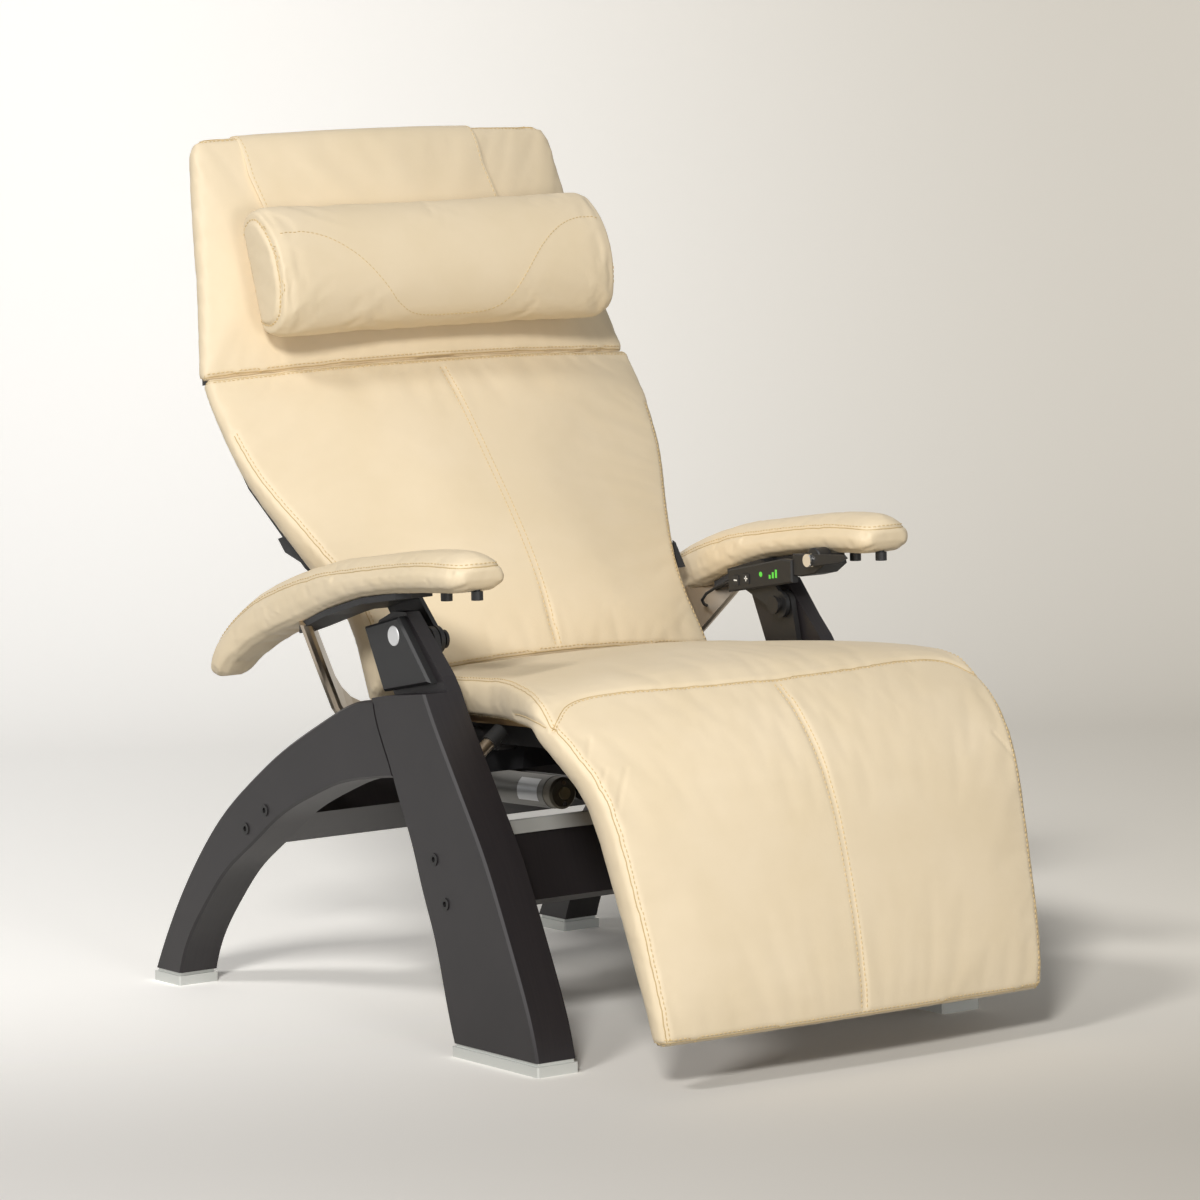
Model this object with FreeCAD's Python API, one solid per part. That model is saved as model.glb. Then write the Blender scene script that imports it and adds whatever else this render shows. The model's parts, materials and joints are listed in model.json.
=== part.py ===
import FreeCAD, Part
import math
import os

os.makedirs("parts", exist_ok=True)

V = FreeCAD.Vector

# Driving sizes in millimetres. Front is -Y, up is +Z, x = 0 is the symmetry plane.
# Side outlines are (y, z) pairs measured with the recline axis near the front leg top,
# and SHIFT moves them so that the chair's bounding box is centred on the origin.
SHIFT = 38.5
LEG_IN = 288.0
LEG_T = 57.0
LEG_OUT = LEG_IN + LEG_T
PIVOT = (-85.0, 510.0)
BACK_PIVOT = (100.0, 378.0)
PIN_R = 8.0
PIN_CLEAR = 0.05
HANGER_OUT = LEG_IN - 2.0
HANGER_IN = HANGER_OUT - 8.0
ARM_PLATE_OUT = HANGER_IN - 2.0
ARM_PLATE_IN = ARM_PLATE_OUT - 6.0
FOOT_H = 17.0
FOOT_OVER = 2.0
EDGE = 3.0

FRONT_EDGE = [(-396, 17), (-380, 70), (-353, 131), (-317, 205), (-283, 268), (-250, 318),
              (-215, 370), (-183, 418), (-162, 455)]
LEG_TOP = [(-162, 455), (-149, 472), (-94, 525), (-71, 547), (-42, 546), (-8, 532), (0, 520),
           (-36, 445), (-43, 435)]
SEAM = [(-43, 435), (-55, 396), (-69, 370), (-84, 340)]
REAR_EDGE = [(-84, 340), (-96, 314), (-123, 260), (-146, 200), (-167, 152), (-189, 80), (-209, 17)]
ARCH_TOP = [(-43, 435), (15, 424), (64, 404), (126, 376), (185, 347), (264, 300), (336, 250),
            (404, 186), (470, 106), (527, 17)]
ARCH_LOW = [(461, 17), (437, 65), (389, 120), (331, 173), (260, 218), (200, 256), (141, 284),
            (102, 299), (54, 316), (12, 326), (-30, 333), (-84, 340)]

BEAM = [(-225, 187), (-190, 283), (-152, 269), (-187, 173)]
BEAM_CAP = 3.0
CROSSBAR_AT = (253.0, 250.0)
CROSSBAR_W = 95.0
CROSSBAR_T = 38.0
CROSSBAR_DIR = (0.857, -0.515)
FRONT_BOLTS = [(-177, 246), (-200, 192)]
REAR_BOLTS = [(228, 265), (278, 235)]
BOLT_HEAD_R = 8.0
BOLT_SUNK = 3.0
BOLT_PROUD = 1.5

POST_OUT = LEG_OUT - 36.0
LEDGE = [(-260, 458), (-159, 453), (-68, 443), (0, 430), (60, 600), (-260, 600)]
HOUSING = [(-69, 542), (11, 523), (-31, 443), (-140, 463)]
HOUSING_T = 12.0
MEDALLION_AT = (-60, 517)
MEDALLION_R = 13.0

# Rear line of the back cushion and head cushion, and the cushions' cross-sections.
# One station: front centre (y, z), direction to the rear (y, z), half-width at the piping,
# crown depth, total depth.
BACK_STATIONS = [
    ((37, 461), (0.75, -0.66), 262, 26, 84),
    ((90, 560), (0.80, -0.60), 256, 32, 85),
    ((143, 633), (0.85, -0.53), 283, 40, 90),
    ((213, 718), (0.92, -0.39), 324, 42, 80),
    ((269, 789), (0.96, -0.28), 337, 42, 70),
    ((298, 822), (0.96, -0.28), 337, 40, 64),
    ((308, 840.5), (0.953, -0.303), 337, 40, 62),
]
HEAD_STATIONS = [
    ((317.5, 838), (0.953, -0.303), 337, 38, 60),
    ((356, 955), (0.953, -0.303), 313, 38, 64),
    ((375, 1012), (0.953, -0.303), 304, 38, 65),
    ((396, 1072), (0.953, -0.303), 294, 36, 64),
    ((421, 1132), (0.953, -0.303), 284, 30, 54),
    ((443, 1146), (0.953, -0.303), 270, 16, 34),
]
SEAT_STATIONS = [
    ((35, 459), (0.05, -0.99), 260, 6, 51.5),
    ((-60, 467), (0.04, -0.999), 262, 8, 56),
    ((-200, 479), (0.04, -0.999), 264, 10, 62.5),
    ((-300, 487), (0.04, -0.999), 298, 14, 66.5),
    ((-390, 488), (0.22, -0.975), 328, 22, 68),
    ((-439, 466), (0.62, -0.785), 334, 28, 70),
]
LEG_STATIONS = [
    ((-439, 466), (0.62, -0.785), 334, 28, 70),
    ((-486, 428), (0.80, -0.60), 331, 24, 70),
    ((-536, 358), (0.95, -0.31), 318, 16, 68),
    ((-576, 229), (0.985, -0.17), 306, 14, 63),
    ((-604, 118), (0.985, -0.17), 297, 14, 54),
    ((-608, 62), (0.985, -0.17), 290, 12, 46),
]
SHELL_T = 12.0


def at(x, p):
    return V(x, p[0] + SHIFT, p[1])


def save(shape, name):
    shape.exportStep("parts/" + name + ".step")


def spline(points, x):
    curve = Part.BSplineCurve()
    curve.interpolate([at(x, p) for p in points])
    return curve.toShape()


def chain(points, x):
    return [Part.makeLine(at(x, a), at(x, b)) for a, b in zip(points, points[1:])]


def plate(edges, width):
    face = Part.Face(Part.Wire(Part.__sortEdges__(edges)))
    return face.extrude(V(width, 0, 0))


def poly(points, x0, x1):
    return plate(chain(points + points[:1], x0), x1 - x0)


def mirrored(shape):
    return shape.mirror(V(0, 0, 0), V(1, 0, 0))


def both(shape):
    return shape.fuse(mirrored(shape))


def largest(shape):
    return sorted(shape.Solids, key=lambda s: -s.Volume)[0]


def rod(x0, x1, p, r):
    return Part.makeCylinder(r, x1 - x0, at(x0, p), V(1, 0, 0))


def tube_between(a, b, r):
    d = b.sub(a)
    return Part.makeCylinder(r, d.Length, a, d)


def brick(x0, x1, y0, y1, z0, z1):
    return Part.makeBox(x1 - x0, y1 - y0, z1 - z0, V(x0, y0 + SHIFT, z0))


def softened(shape, edges, size):
    return shape.makeChamfer(size, edges)


def long_edges(shape, x, least):
    found = []
    for edge in shape.Edges:
        box = edge.BoundBox
        if abs(box.XMin - x) < 0.01 and abs(box.XMax - x) < 0.01 and edge.Length > least:
            found.append(edge)
    return found


def slab(points, x, thick):
    """A flat strip that follows a (y, z) line at half-width x, thickness below the line."""
    solids = []
    for a, b in zip(points, points[1:]):
        solids.append(poly([a, b, (b[0], b[1] - thick), (a[0], a[1] - thick)], -x, x))
    whole = solids[0]
    for piece in solids[1:]:
        whole = whole.fuse(piece)
    return whole.removeSplitter()


def flat(station):
    row = []
    for value in station:
        row += list(value) if isinstance(value, tuple) else [value]
    return row


def refined(stations, steps):
    """Rows between the stations on a smooth curve, so that plain strips follow the form."""
    rows = [flat(s) for s in stations]
    out = []
    for i in range(len(rows) - 1):
        a, b = rows[i], rows[i + 1]
        before = rows[i - 1] if i else [2 * p - q for p, q in zip(a, b)]
        after = rows[i + 2] if i + 2 < len(rows) else [2 * q - p for p, q in zip(a, b)]
        for k in range(steps):
            t = k / steps
            out.append([p + 0.5 * t * ((q - o) + t * ((2 * o - 5 * p + 4 * q - r) + t * (3 * (p - q) + r - o)))
                        for o, p, q, r in zip(before, a, b, after)])
    return out + [rows[-1]]


def section(row, grow=0.0, bulge=5.0):
    """Closed wire across a cushion: crowned front, bulged sides, flat rear."""
    fy, fz, uy, uz, w, crown, depth = row
    size = math.hypot(uy, uz)
    uy, uz = uy / size, uz / size

    def local(x, s):
        return V(x, fy + SHIFT + uy * s, fz + uz * s)

    w = w + grow
    front = -grow
    rear = depth + grow
    side = (crown + rear) / 2.0
    left = local(-w, crown)
    right = local(w, crown)
    left_rear = local(-w + 6, rear)
    right_rear = local(w - 6, rear)
    return Part.Wire([
        Part.Arc(left, local(0, front), right).toShape(),
        Part.Arc(right, local(w + bulge, side), right_rear).toShape(),
        Part.makeLine(right_rear, left_rear),
        Part.Arc(left_rear, local(-w - bulge, side), left).toShape(),
    ])


def cushion(stations, grow=0.0):
    return Part.makeLoft([section(row, grow) for row in refined(stations, 3)], True, True)


def rear_point(station, extra=0.0):
    (fy, fz), (uy, uz), w, crown, depth = station
    size = math.hypot(uy, uz)
    return (fy + uy / size * (depth + extra), fz + uz / size * (depth + extra))


def board(stations, inset, gap, thick):
    """A board behind a cushion: starts gap behind its rear face, inset from its sides."""
    wires = []
    for s in stations:
        w = s[2] - inset
        a = rear_point(s, gap)
        b = rear_point(s, gap + thick)
        wires.append(Part.makePolygon([at(-w, a), at(w, a), at(w, b), at(-w, b), at(-w, a)]))
    return Part.makeLoft(wires, True, True)


# Side frames: front legs with a ledge under the pivot housing, and arched rear legs.
def front_leg():
    edges = [spline(FRONT_EDGE, LEG_IN)] + chain(LEG_TOP, LEG_IN)
    edges += [spline(SEAM, LEG_IN), spline(REAR_EDGE, LEG_IN)]
    edges += chain([REAR_EDGE[-1], FRONT_EDGE[0]], LEG_IN)
    leg = plate(edges, LEG_OUT - LEG_IN)
    leg = softened(leg, long_edges(leg, LEG_OUT, 200), EDGE)
    return leg.cut(poly(LEDGE, POST_OUT, LEG_OUT + 1))


def arch():
    edges = [spline(ARCH_TOP, LEG_IN), spline(ARCH_LOW, LEG_IN), spline(SEAM, LEG_IN)]
    edges += chain([ARCH_TOP[-1], ARCH_LOW[0]], LEG_IN)
    leg = plate(edges, LEG_OUT - LEG_IN)
    return softened(leg, long_edges(leg, LEG_OUT, 200), EDGE)


def bolt(p):
    """Round bolt head, just proud of the leg's outer face; its shank is inside the wood."""
    return rod(LEG_OUT - BOLT_SUNK, LEG_OUT + BOLT_PROUD, p, BOLT_HEAD_R)


def hex_socket(p):
    corners = []
    for i in range(7):
        a = math.radians(60 * i)
        corners.append(V(LEG_OUT - BOLT_PROUD, p[0] + SHIFT + 4 * math.cos(a), p[1] + 4 * math.sin(a)))
    return Part.Face(Part.makePolygon(corners)).extrude(V(5, 0, 0))


bolt_places = FRONT_BOLTS + REAR_BOLTS
bolts = [bolt(p) for p in bolt_places]
bolts_right = bolts[0].multiFuse(bolts[1:])
sockets = [hex_socket(p) for p in bolt_places]
save(both(bolts_right.cut(sockets[0].multiFuse(sockets[1:]))), "leg_bolts")

pin_reach = HANGER_IN - 14
pivot_pin = rod(pin_reach, POST_OUT, PIVOT, PIN_R).fuse(rod(pin_reach - 4, pin_reach, PIVOT, PIN_R + 4))
save(both(pivot_pin), "pivot_pins")

stub_top = at(LEG_IN - 41, (-184, 398))
stub_from = at(LEG_IN + 14, (-194.7, 362.9))
stub_dir = stub_top.sub(stub_from).normalize()
sleeve_from = stub_top.sub(V(stub_dir).multiply(22))
stub = tube_between(stub_from, stub_top, 8.5)
sleeve = tube_between(sleeve_from, stub_top.add(V(stub_dir).multiply(4)), 10.5).cut(stub)
save(both(stub), "rest_stubs")
save(both(sleeve), "stub_sleeves")

right_front = largest(front_leg().cut(bolts_right).cut(pivot_pin).cut(stub))
right_rear = largest(arch().cut(bolts_right))
save(right_front, "front_leg_right")
save(mirrored(right_front), "front_leg_left")
save(right_rear, "rear_leg_right")
save(mirrored(right_rear), "rear_leg_left")


def foot_cap(y0, y1):
    low = brick(LEG_IN - FOOT_OVER, LEG_OUT + FOOT_OVER, y0 - FOOT_OVER, y1 + FOOT_OVER, 0, FOOT_H - 4)
    lip = brick(LEG_IN + 2, LEG_OUT - 2, y0 + 3, y1 - 3, FOOT_H - 4, FOOT_H)
    low = low.makeChamfer(2, [e for e in low.Edges if abs(e.BoundBox.ZLength - (FOOT_H - 4)) < 0.01])
    return low.fuse(lip)


save(both(foot_cap(-398, -210)), "front_foot_caps")
save(both(foot_cap(462, 526)), "rear_foot_caps")

beam = poly(BEAM, -LEG_IN, LEG_IN)
save(beam, "front_crossbeam")
front_top, rear_top = BEAM[1], BEAM[2]
cap = poly([front_top, rear_top, (rear_top[0] + 1, rear_top[1] + BEAM_CAP), (front_top[0] + 1, front_top[1] + BEAM_CAP)],
           -LEG_IN + 1, LEG_IN - 1)
cap_lip = poly([front_top, (front_top[0] + 1, front_top[1] + BEAM_CAP), (front_top[0] - 3, front_top[1] + 2),
                (front_top[0] - 8.5, front_top[1] - 14), (front_top[0] - 5.5, front_top[1] - 15)],
               -LEG_IN + 1, LEG_IN - 1)
save(cap.fuse(cap_lip).removeSplitter(), "front_beam_cap")

ux, uz = CROSSBAR_DIR
nx, nz = -uz, ux


def crossbar_point(a, b):
    return (CROSSBAR_AT[0] + ux * a + nx * b, CROSSBAR_AT[1] + uz * a + nz * b)


half_w, half_t = CROSSBAR_W / 2, CROSSBAR_T / 2
crossbar = poly([crossbar_point(-half_w, -half_t), crossbar_point(half_w, -half_t),
                 crossbar_point(half_w, half_t), crossbar_point(-half_w, half_t)], -LEG_IN, LEG_IN)
save(crossbar, "rear_crossbar")

housing_x = POST_OUT + HOUSING_T
housing = poly(HOUSING, POST_OUT, housing_x)
housing = softened(housing, long_edges(housing, housing_x, 20), 3)
medallion = rod(housing_x - 1.5, housing_x + 1.0, MEDALLION_AT, MEDALLION_R)
medallion = softened(medallion, [e for e in medallion.Edges if e.BoundBox.XMin > housing_x + 0.9], 0.8)
housing = housing.cut(medallion)
save(housing, "pivot_housing_right")
save(mirrored(housing), "pivot_housing_left")
save(both(medallion), "pivot_medallions")

# Seat frame: pan and rails under the seat cushion, hung from the recline axis.
PAN_SLOPE = -0.0386
PAN_TOP = 407.9
PAN_T = 8.0
PAN_HALF = 240.0
RAIL_IN = 205.0
RAIL_OUT = 225.0
BOSS_R = 18.0
BRACKET_IN = 188.0
BRACKET_OUT = 202.0
BACK_PIN_R = 7.0
CROSS_TUBES = [(-60, 383), (-105, 385), (-300, 390)]
CROSS_TUBE_R = 11.0
LUG_TUBE = (-142, 380)
ROD_X = -15.0
ROD_PIN_R = 5.0
ROD_REAR = (195.0, 279.0)
ROD_FRONT = (-150.0, 291.0)
ROD_SLACK = 1.6


def pan_top(y):
    return PAN_TOP + PAN_SLOPE * y


seat_cushion = cushion(SEAT_STATIONS)
legrest_cushion = cushion(LEG_STATIONS)
save(seat_cushion, "seat_cushion")
save(legrest_cushion, "legrest_cushion")

pan = slab([(50, pan_top(50)), (-360, pan_top(-360))], PAN_HALF, PAN_T).cut(seat_cushion)
save(pan, "seat_pan")
legrest_board = board(LEG_STATIONS, 42, 0.3, 8.0).cut(legrest_cushion)
save(legrest_board, "legrest_board")

rail_top = PAN_TOP - PAN_T
RAIL = [(60, rail_top + PAN_SLOPE * 60), (-362, rail_top + PAN_SLOPE * -362), (-388, 408), (-423, 381),
        (-463, 334), (-505, 217), (-484, 211), (-442, 324), (-404, 364), (-374, 384), (-340, 386),
        (60, 370), (92, 362), (114, 366), (116, 388), (92, 394)]
rail = poly(RAIL, RAIL_IN, RAIL_OUT)
back_pin = rod(BRACKET_IN - 4, RAIL_OUT + 3, BACK_PIVOT, BACK_PIN_R)
back_pin = back_pin.fuse(rod(BRACKET_IN - 8, BRACKET_IN - 4, BACK_PIVOT, BACK_PIN_R + 4))
tubes = rod(-HANGER_OUT, HANGER_OUT, CROSS_TUBES[0], CROSS_TUBE_R)
tubes = tubes.fuse(rod(-HANGER_OUT, HANGER_OUT, CROSS_TUBES[1], CROSS_TUBE_R))
tubes = tubes.fuse(rod(-RAIL_OUT, RAIL_OUT, CROSS_TUBES[2], CROSS_TUBE_R))
lug_tube = rod(-RAIL_OUT, RAIL_OUT, LUG_TUBE, CROSS_TUBE_R)
rail = rail.cut(back_pin).cut(tubes).cut(lug_tube)
rail = rail.cut(legrest_board).cut(pan).cut(legrest_cushion).cut(seat_cushion)
save(both(rail), "seat_rails")
save(both(back_pin), "back_hinge_pins")
save(tubes, "seat_cross_tubes")

hanger = poly([(-103, 512), (-128, 400), (-124, 372), (-40, 370), (-36, 400), (-67, 512)], HANGER_IN, HANGER_OUT)
hanger = hanger.fuse(rod(HANGER_IN, HANGER_OUT, PIVOT, BOSS_R)).removeSplitter()
hanger = hanger.cut(rod(HANGER_IN - 1, HANGER_OUT + 1, PIVOT, PIN_R + PIN_CLEAR)).cut(tubes)
save(both(hanger), "hanger_plates")

lug_plate = poly([(-164, 291), (-156, 380), (-128, 380), (-136, 291)], ROD_X - 16, ROD_X - 10)
lug_plate = lug_plate.fuse(rod(ROD_X - 16, ROD_X - 10, ROD_FRONT, 13.0)).removeSplitter()
lug_plates = lug_plate.fuse(lug_plate.translated(V(26, 0, 0)))
lug_pin = rod(ROD_X - 18, ROD_X + 18, ROD_FRONT, ROD_PIN_R)
actuator_lug = lug_tube.fuse(lug_plates.cut(lug_tube)).cut(lug_pin)
save(actuator_lug, "actuator_lug")
save(lug_pin, "actuator_lug_pin")

COVER = [(-176, 400), (-166, 346), (-24, 322), (36, 344), (48, 392)]
COVER_IN = [(-172, 420), (-163, 349), (-24.5, 325.5), (33.5, 347), (44, 420)]
cover = poly(COVER + [(48, rail_top + PAN_SLOPE * 48), (-176, rail_top + PAN_SLOPE * -176)], 95, 200)
cover = cover.cut(poly(COVER_IN, 98, 197)).cut(pan)
for p in CROSS_TUBES[:2] + [LUG_TUBE]:
    cover = cover.cut(brick(90, 205, p[0] - CROSS_TUBE_R, p[0] + CROSS_TUBE_R, p[1] - CROSS_TUBE_R, p[1] + CROSS_TUBE_R))
save(both(cover), "underside_covers")

# Backrest: moulded shell with ears, brackets to the back hinge, cushions, pillow and flap.
back_cushion = cushion(BACK_STATIONS)
head_cushion = cushion(HEAD_STATIONS)
save(back_cushion, "back_cushion")
save(head_cushion, "head_cushion")

SHELL_LOW_HALF = (218.0, 226.0)
SHELL_STATIONS = [s[:2] + (w,) + s[3:] for s, w in zip(BACK_STATIONS, SHELL_LOW_HALF)]
SHELL_STATIONS += BACK_STATIONS[2:] + HEAD_STATIONS[:-1]
back_board = board(SHELL_STATIONS, 12, 0.3, SHELL_T)
EAR = [(128, 545), (150, 577), (215, 604), (268, 620), (292, 614), (275, 597), (225, 583), (172, 566), (140, 543)]
ear = poly(EAR, 248, 273)
ear = ear.cut(cushion(BACK_STATIONS, 0.3))
back_shell = back_board.multiFuse([ear, mirrored(ear)])
back_shell = back_shell.cut(back_cushion).cut(head_cushion)

BRACKET = [(104, 400), (166, 500), (238, 581), (256, 574), (196, 482), (128, 372), (104, 361), (86, 370),
           (86, 388)]
bracket = poly(BRACKET, BRACKET_IN, BRACKET_OUT).fuse(rod(BRACKET_IN, BRACKET_OUT, BACK_PIVOT, 16.0))
bracket = bracket.removeSplitter().cut(rod(BRACKET_IN - 1, BRACKET_OUT + 1, BACK_PIVOT, BACK_PIN_R + PIN_CLEAR))
bracket = bracket.cut(back_shell).cut(back_cushion)
bracket = largest(bracket)
save(both(bracket), "back_brackets")


POD_HALF = 34.0
POD_FROM = 6.0
POD_TO = 36.0


def pod(station, x):
    """Eight-sided motor pod on the rear of the shell."""
    (fy, fz), direction, w, crown, depth = station
    normal = V(0, direction[0], direction[1]).normalize()
    up = V(0, -normal.z, normal.y)
    centre = at(x, rear_point(station, POD_FROM))
    corners = []
    for i in range(9):
        a = math.radians(45 * i + 22.5)
        corners.append(centre.add(V(POD_HALF * math.cos(a), 0, 0)).add(V(up).multiply(POD_HALF * math.sin(a))))
    return Part.Face(Part.makePolygon(corners)).extrude(normal.multiply(POD_TO - POD_FROM))


pods = [pod(BACK_STATIONS[i], x) for i in (2, 3) for x in (-95, 95)]
shell_skin = board(SHELL_STATIONS, 12, 0.3, SHELL_T + 0.2)
motors = [largest(p.cut(shell_skin).cut(back_cushion)) for p in pods]
save(motors[0].multiFuse(motors[1:]), "massage_motors")
save(back_shell, "back_shell")

PILLOW_AT = (321.0, 966.0)
HEAD_DIR = (0.3134, 0.9496)
PILLOW_PROFILE = [(78, 22), (90, -6), (76, -32.8), (-76, -32.8), (-90, -2), (-76, 31), (-14, 51)]
PILLOW_STRAIGHT = 225.0
PILLOW_ENDS = [(225, 1.0), (250, 0.985), (264, 0.93), (270, 0.85)]


def pillow_section(x, scale):
    ty, tz = HEAD_DIR
    size = math.hypot(ty, tz)
    ty, tz = ty / size, tz / size
    pts = []
    for t, n in PILLOW_PROFILE:
        t, n = t * scale, n * scale
        pts.append(at(x, (PILLOW_AT[0] + ty * t - tz * n, PILLOW_AT[1] + tz * t + ty * n)))
    return Part.Wire([
        Part.Arc(pts[0], pts[1], pts[2]).toShape(),
        Part.makeLine(pts[2], pts[3]),
        Part.Arc(pts[3], pts[4], pts[5]).toShape(),
        Part.Arc(pts[5], pts[6], pts[0]).toShape(),
    ])


pillow_end = Part.makeLoft([pillow_section(x, k) for x, k in PILLOW_ENDS], True, True)
pillow_middle = Part.Face(pillow_section(-PILLOW_STRAIGHT, 1.0)).extrude(V(2 * PILLOW_STRAIGHT, 0, 0))
pillow = pillow_middle.multiFuse([pillow_end, mirrored(pillow_end)])
save(pillow, "pillow")

FLAP_HALF = 190.0
FLAP_T = 3.5
FLAP_LOW = 900.0
FLAP_REAR_LOW = 1096.0
top = HEAD_STATIONS[-1]
flap_top = ((top[0][0] + 1.2, top[0][1] + FLAP_T), top[1], top[2], top[3], top[4])
flap = cushion(HEAD_STATIONS[:-1] + [flap_top], FLAP_T)
flap = flap.common(brick(-FLAP_HALF, FLAP_HALF, 300, 520, FLAP_LOW, 1200))
behind = poly([(366, FLAP_LOW - 20), (436, FLAP_REAR_LOW), (600, FLAP_REAR_LOW), (600, FLAP_LOW - 20)],
              -FLAP_HALF - 1, FLAP_HALF + 1)
flap = flap.cut(head_cushion).cut(back_shell).cut(behind)
flap = largest(flap)
save(flap, "head_flap")

# Arm carriage: pads, plates with brackets on the recline axis, hoop, control panel and lever.
# One pad station: crown (y, z), path slope in degrees, centre x, half-width, depth.
PAD_STATIONS = [
    ((-266, 619), -6, 318, 27, 24),
    ((-262, 628), -5, 318, 34, 36),
    ((-252, 634), -3, 319, 39, 45),
    ((-232, 638), 0, 320, 42, 51),
    ((-174, 636), 2, 322, 43, 52),
    ((-119, 630), 4, 322, 42, 51),
    ((-30, 619), 8, 323, 42, 52),
    ((62, 604), 13, 326, 40, 60),
    ((141, 583), 18, 330, 38, 65),
    ((214, 556), 27, 335, 36, 62),
    ((269, 522), 40, 341, 34, 57),
    ((304, 488), 54, 346, 32, 50),
    ((318, 459), 66, 349, 28, 40),
    ((318, 443), 73, 350, 20, 26),
]
PAD_SHOULDER = 0.42
PAD_CROWN = (-1.0, -0.74, -0.4, 0.0, 0.4, 0.74, 1.0)
ARM_PLATE_T = 8.0
ARM_BRACKET_FRONT = (-112, 577.5)
ARM_BRACKET_REAR = (-37, 566.5)
UNDER_PLATE = [((-130, 580), 322, 16), (ARM_BRACKET_FRONT, 322, 28), (ARM_BRACKET_REAR, 324, 30),
               ((47, 545), 326, 29), ((112, 523), 331, 22), ((130, 515), 334, 10)]
HOOP_W = 56.0
HOOP_T = 14.0
# Front-lower edge (x, y, z) of the hoop strap and the direction across the strap toward it.
HOOP = [((353, 100.5, 523), (0.31, -0.735, -0.60)), ((309, 135.5, 460), (0.31, -0.735, -0.60)),
        ((266, 169, 400), (0.31, -0.735, -0.60)), ((246, 181, 381), (0.27, -0.74, -0.62)),
        ((222, 190, 364), (0.21, -0.75, -0.63)), ((192, 197, 351), (0.15, -0.755, -0.64)),
        ((150, 201.5, 343), (0.08, -0.76, -0.645)), ((90, 203, 340.5), (0.03, -0.76, -0.65)),
        ((0, 203, 340), (0.0, -0.76, -0.65))]


def pad_section(row):
    """Closed wire across an armrest pad: crowned top, slightly bulged sides, flat underside."""
    fy, fz, slope, cx, w, depth = row
    a = math.radians(slope)
    uy, uz = -math.sin(a), -math.cos(a)
    shoulder = depth * PAD_SHOULDER

    def local(x, s):
        return V(cx + x, fy + SHIFT + uy * s, fz + uz * s)

    crown = [local(w * k, shoulder * k * k) for k in PAD_CROWN]
    side = (shoulder + depth) / 2.0
    corners = crown + [local(w + 1.5, side), local(w - 6, depth), local(-w + 6, depth), local(-w - 1.5, side)]
    return Part.makePolygon(corners + corners[:1])


pad = Part.makeLoft([pad_section(row) for row in refined(PAD_STATIONS, 2)], True, True)
save(pad, "armrest_pad_right")
save(mirrored(pad), "armrest_pad_left")

wires = []
for p, cx, w in UNDER_PLATE:
    low = (p[0], p[1] - ARM_PLATE_T)
    wires.append(Part.makePolygon([at(cx - w, p), at(cx + w, p), at(cx + w, low), at(cx - w, low), at(cx - w, p)]))
under_plate = Part.makeLoft(wires, True, True)
front_y, front_z = ARM_BRACKET_FRONT
rear_y, rear_z = ARM_BRACKET_REAR
flange = poly([(front_y + 65, front_z - 9.5), (rear_y + 65, rear_z - 17), (rear_y + 65, rear_z - 24),
               (front_y + 65, front_z - 17)], ARM_PLATE_IN, ARM_PLATE_OUT + 20)
arm_plate = poly([(PIVOT[0] - 15, PIVOT[1] + 4), (front_y + 66, front_z - 10), (rear_y + 64, rear_z - 18),
                  (rear_y + 52, rear_z - 32), (PIVOT[0] + 16, PIVOT[1] - 7)], ARM_PLATE_IN, ARM_PLATE_OUT)
arm_plate = arm_plate.fuse(rod(ARM_PLATE_IN, ARM_PLATE_OUT, PIVOT, BOSS_R))
arm_plate = arm_plate.cut(rod(ARM_PLATE_IN - 1, ARM_PLATE_OUT + 1, PIVOT, PIN_R + PIN_CLEAR))
arm_bracket = under_plate.multiFuse([flange, arm_plate]).cut(pad)
arm_bracket = largest(arm_bracket)
save(arm_bracket, "arm_plate_right")
save(mirrored(arm_bracket), "arm_plate_left")


def knob(x, y, z):
    k = Part.makeCylinder(7.5, 11, V(x, y + SHIFT, z - 5.5), V(0, 0, 1))
    return k.fuse(Part.makeCylinder(4, 12, V(x, y + SHIFT, z + 4), V(0, 0, 1))).cut(pad)


save(both(knob(317, -248.5, 582).fuse(knob(322, -187, 577))), "pad_knobs")


def hoop_section(i, points):
    e, across = points[i]
    before = points[max(i - 1, 0)][0]
    after = points[min(i + 1, len(points) - 1)][0]
    along = V(*after).sub(V(*before)).normalize()
    w = V(*across).normalize()
    n = along.cross(w).normalize()
    edge = V(e[0], e[1] + SHIFT, e[2])
    far = edge.sub(V(w).multiply(HOOP_W))
    half = V(n).multiply(HOOP_T / 2.0)
    crown = V(n).multiply(HOOP_T / 5.0)
    out = V(w).multiply(3.0)
    corners = [edge.add(half), edge.add(crown).add(out), edge.sub(crown).add(out), edge.sub(half),
               far.sub(half), far.sub(crown).sub(out), far.add(crown).sub(out), far.add(half)]
    return Part.makePolygon(corners + corners[:1])


other_side = [((-e[0], e[1], e[2]), (-w[0], w[1], w[2])) for e, w in HOOP[:-1]]
hoop_points = HOOP + other_side[::-1]
hoop = Part.makeLoft([hoop_section(i, hoop_points) for i in range(len(hoop_points))], True, True)
hoop = hoop.cut(pad).cut(mirrored(pad)).cut(arm_bracket).cut(mirrored(arm_bracket))
hoop = largest(hoop)
save(hoop, "hoop")

PANEL_IN = ARM_PLATE_IN - 11.0
PANEL = [(13, 550), (13, 520), (-107, 539), (-130, 543), (-130, 573), (-107, 573)]
MINUS_AT = (-6.3, 537.5)
PLUS_AT = (-29.8, 541.5)
MARK_AT = (-62.0, 549.4)
BARS = [(-82, 545, 5.0), (-89, 546, 8.0), (-96, 547, 11.0)]
KEY_HALF = 6.5
KEY_TRAVEL = 0.8
KEY_GAP = 0.3


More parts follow.
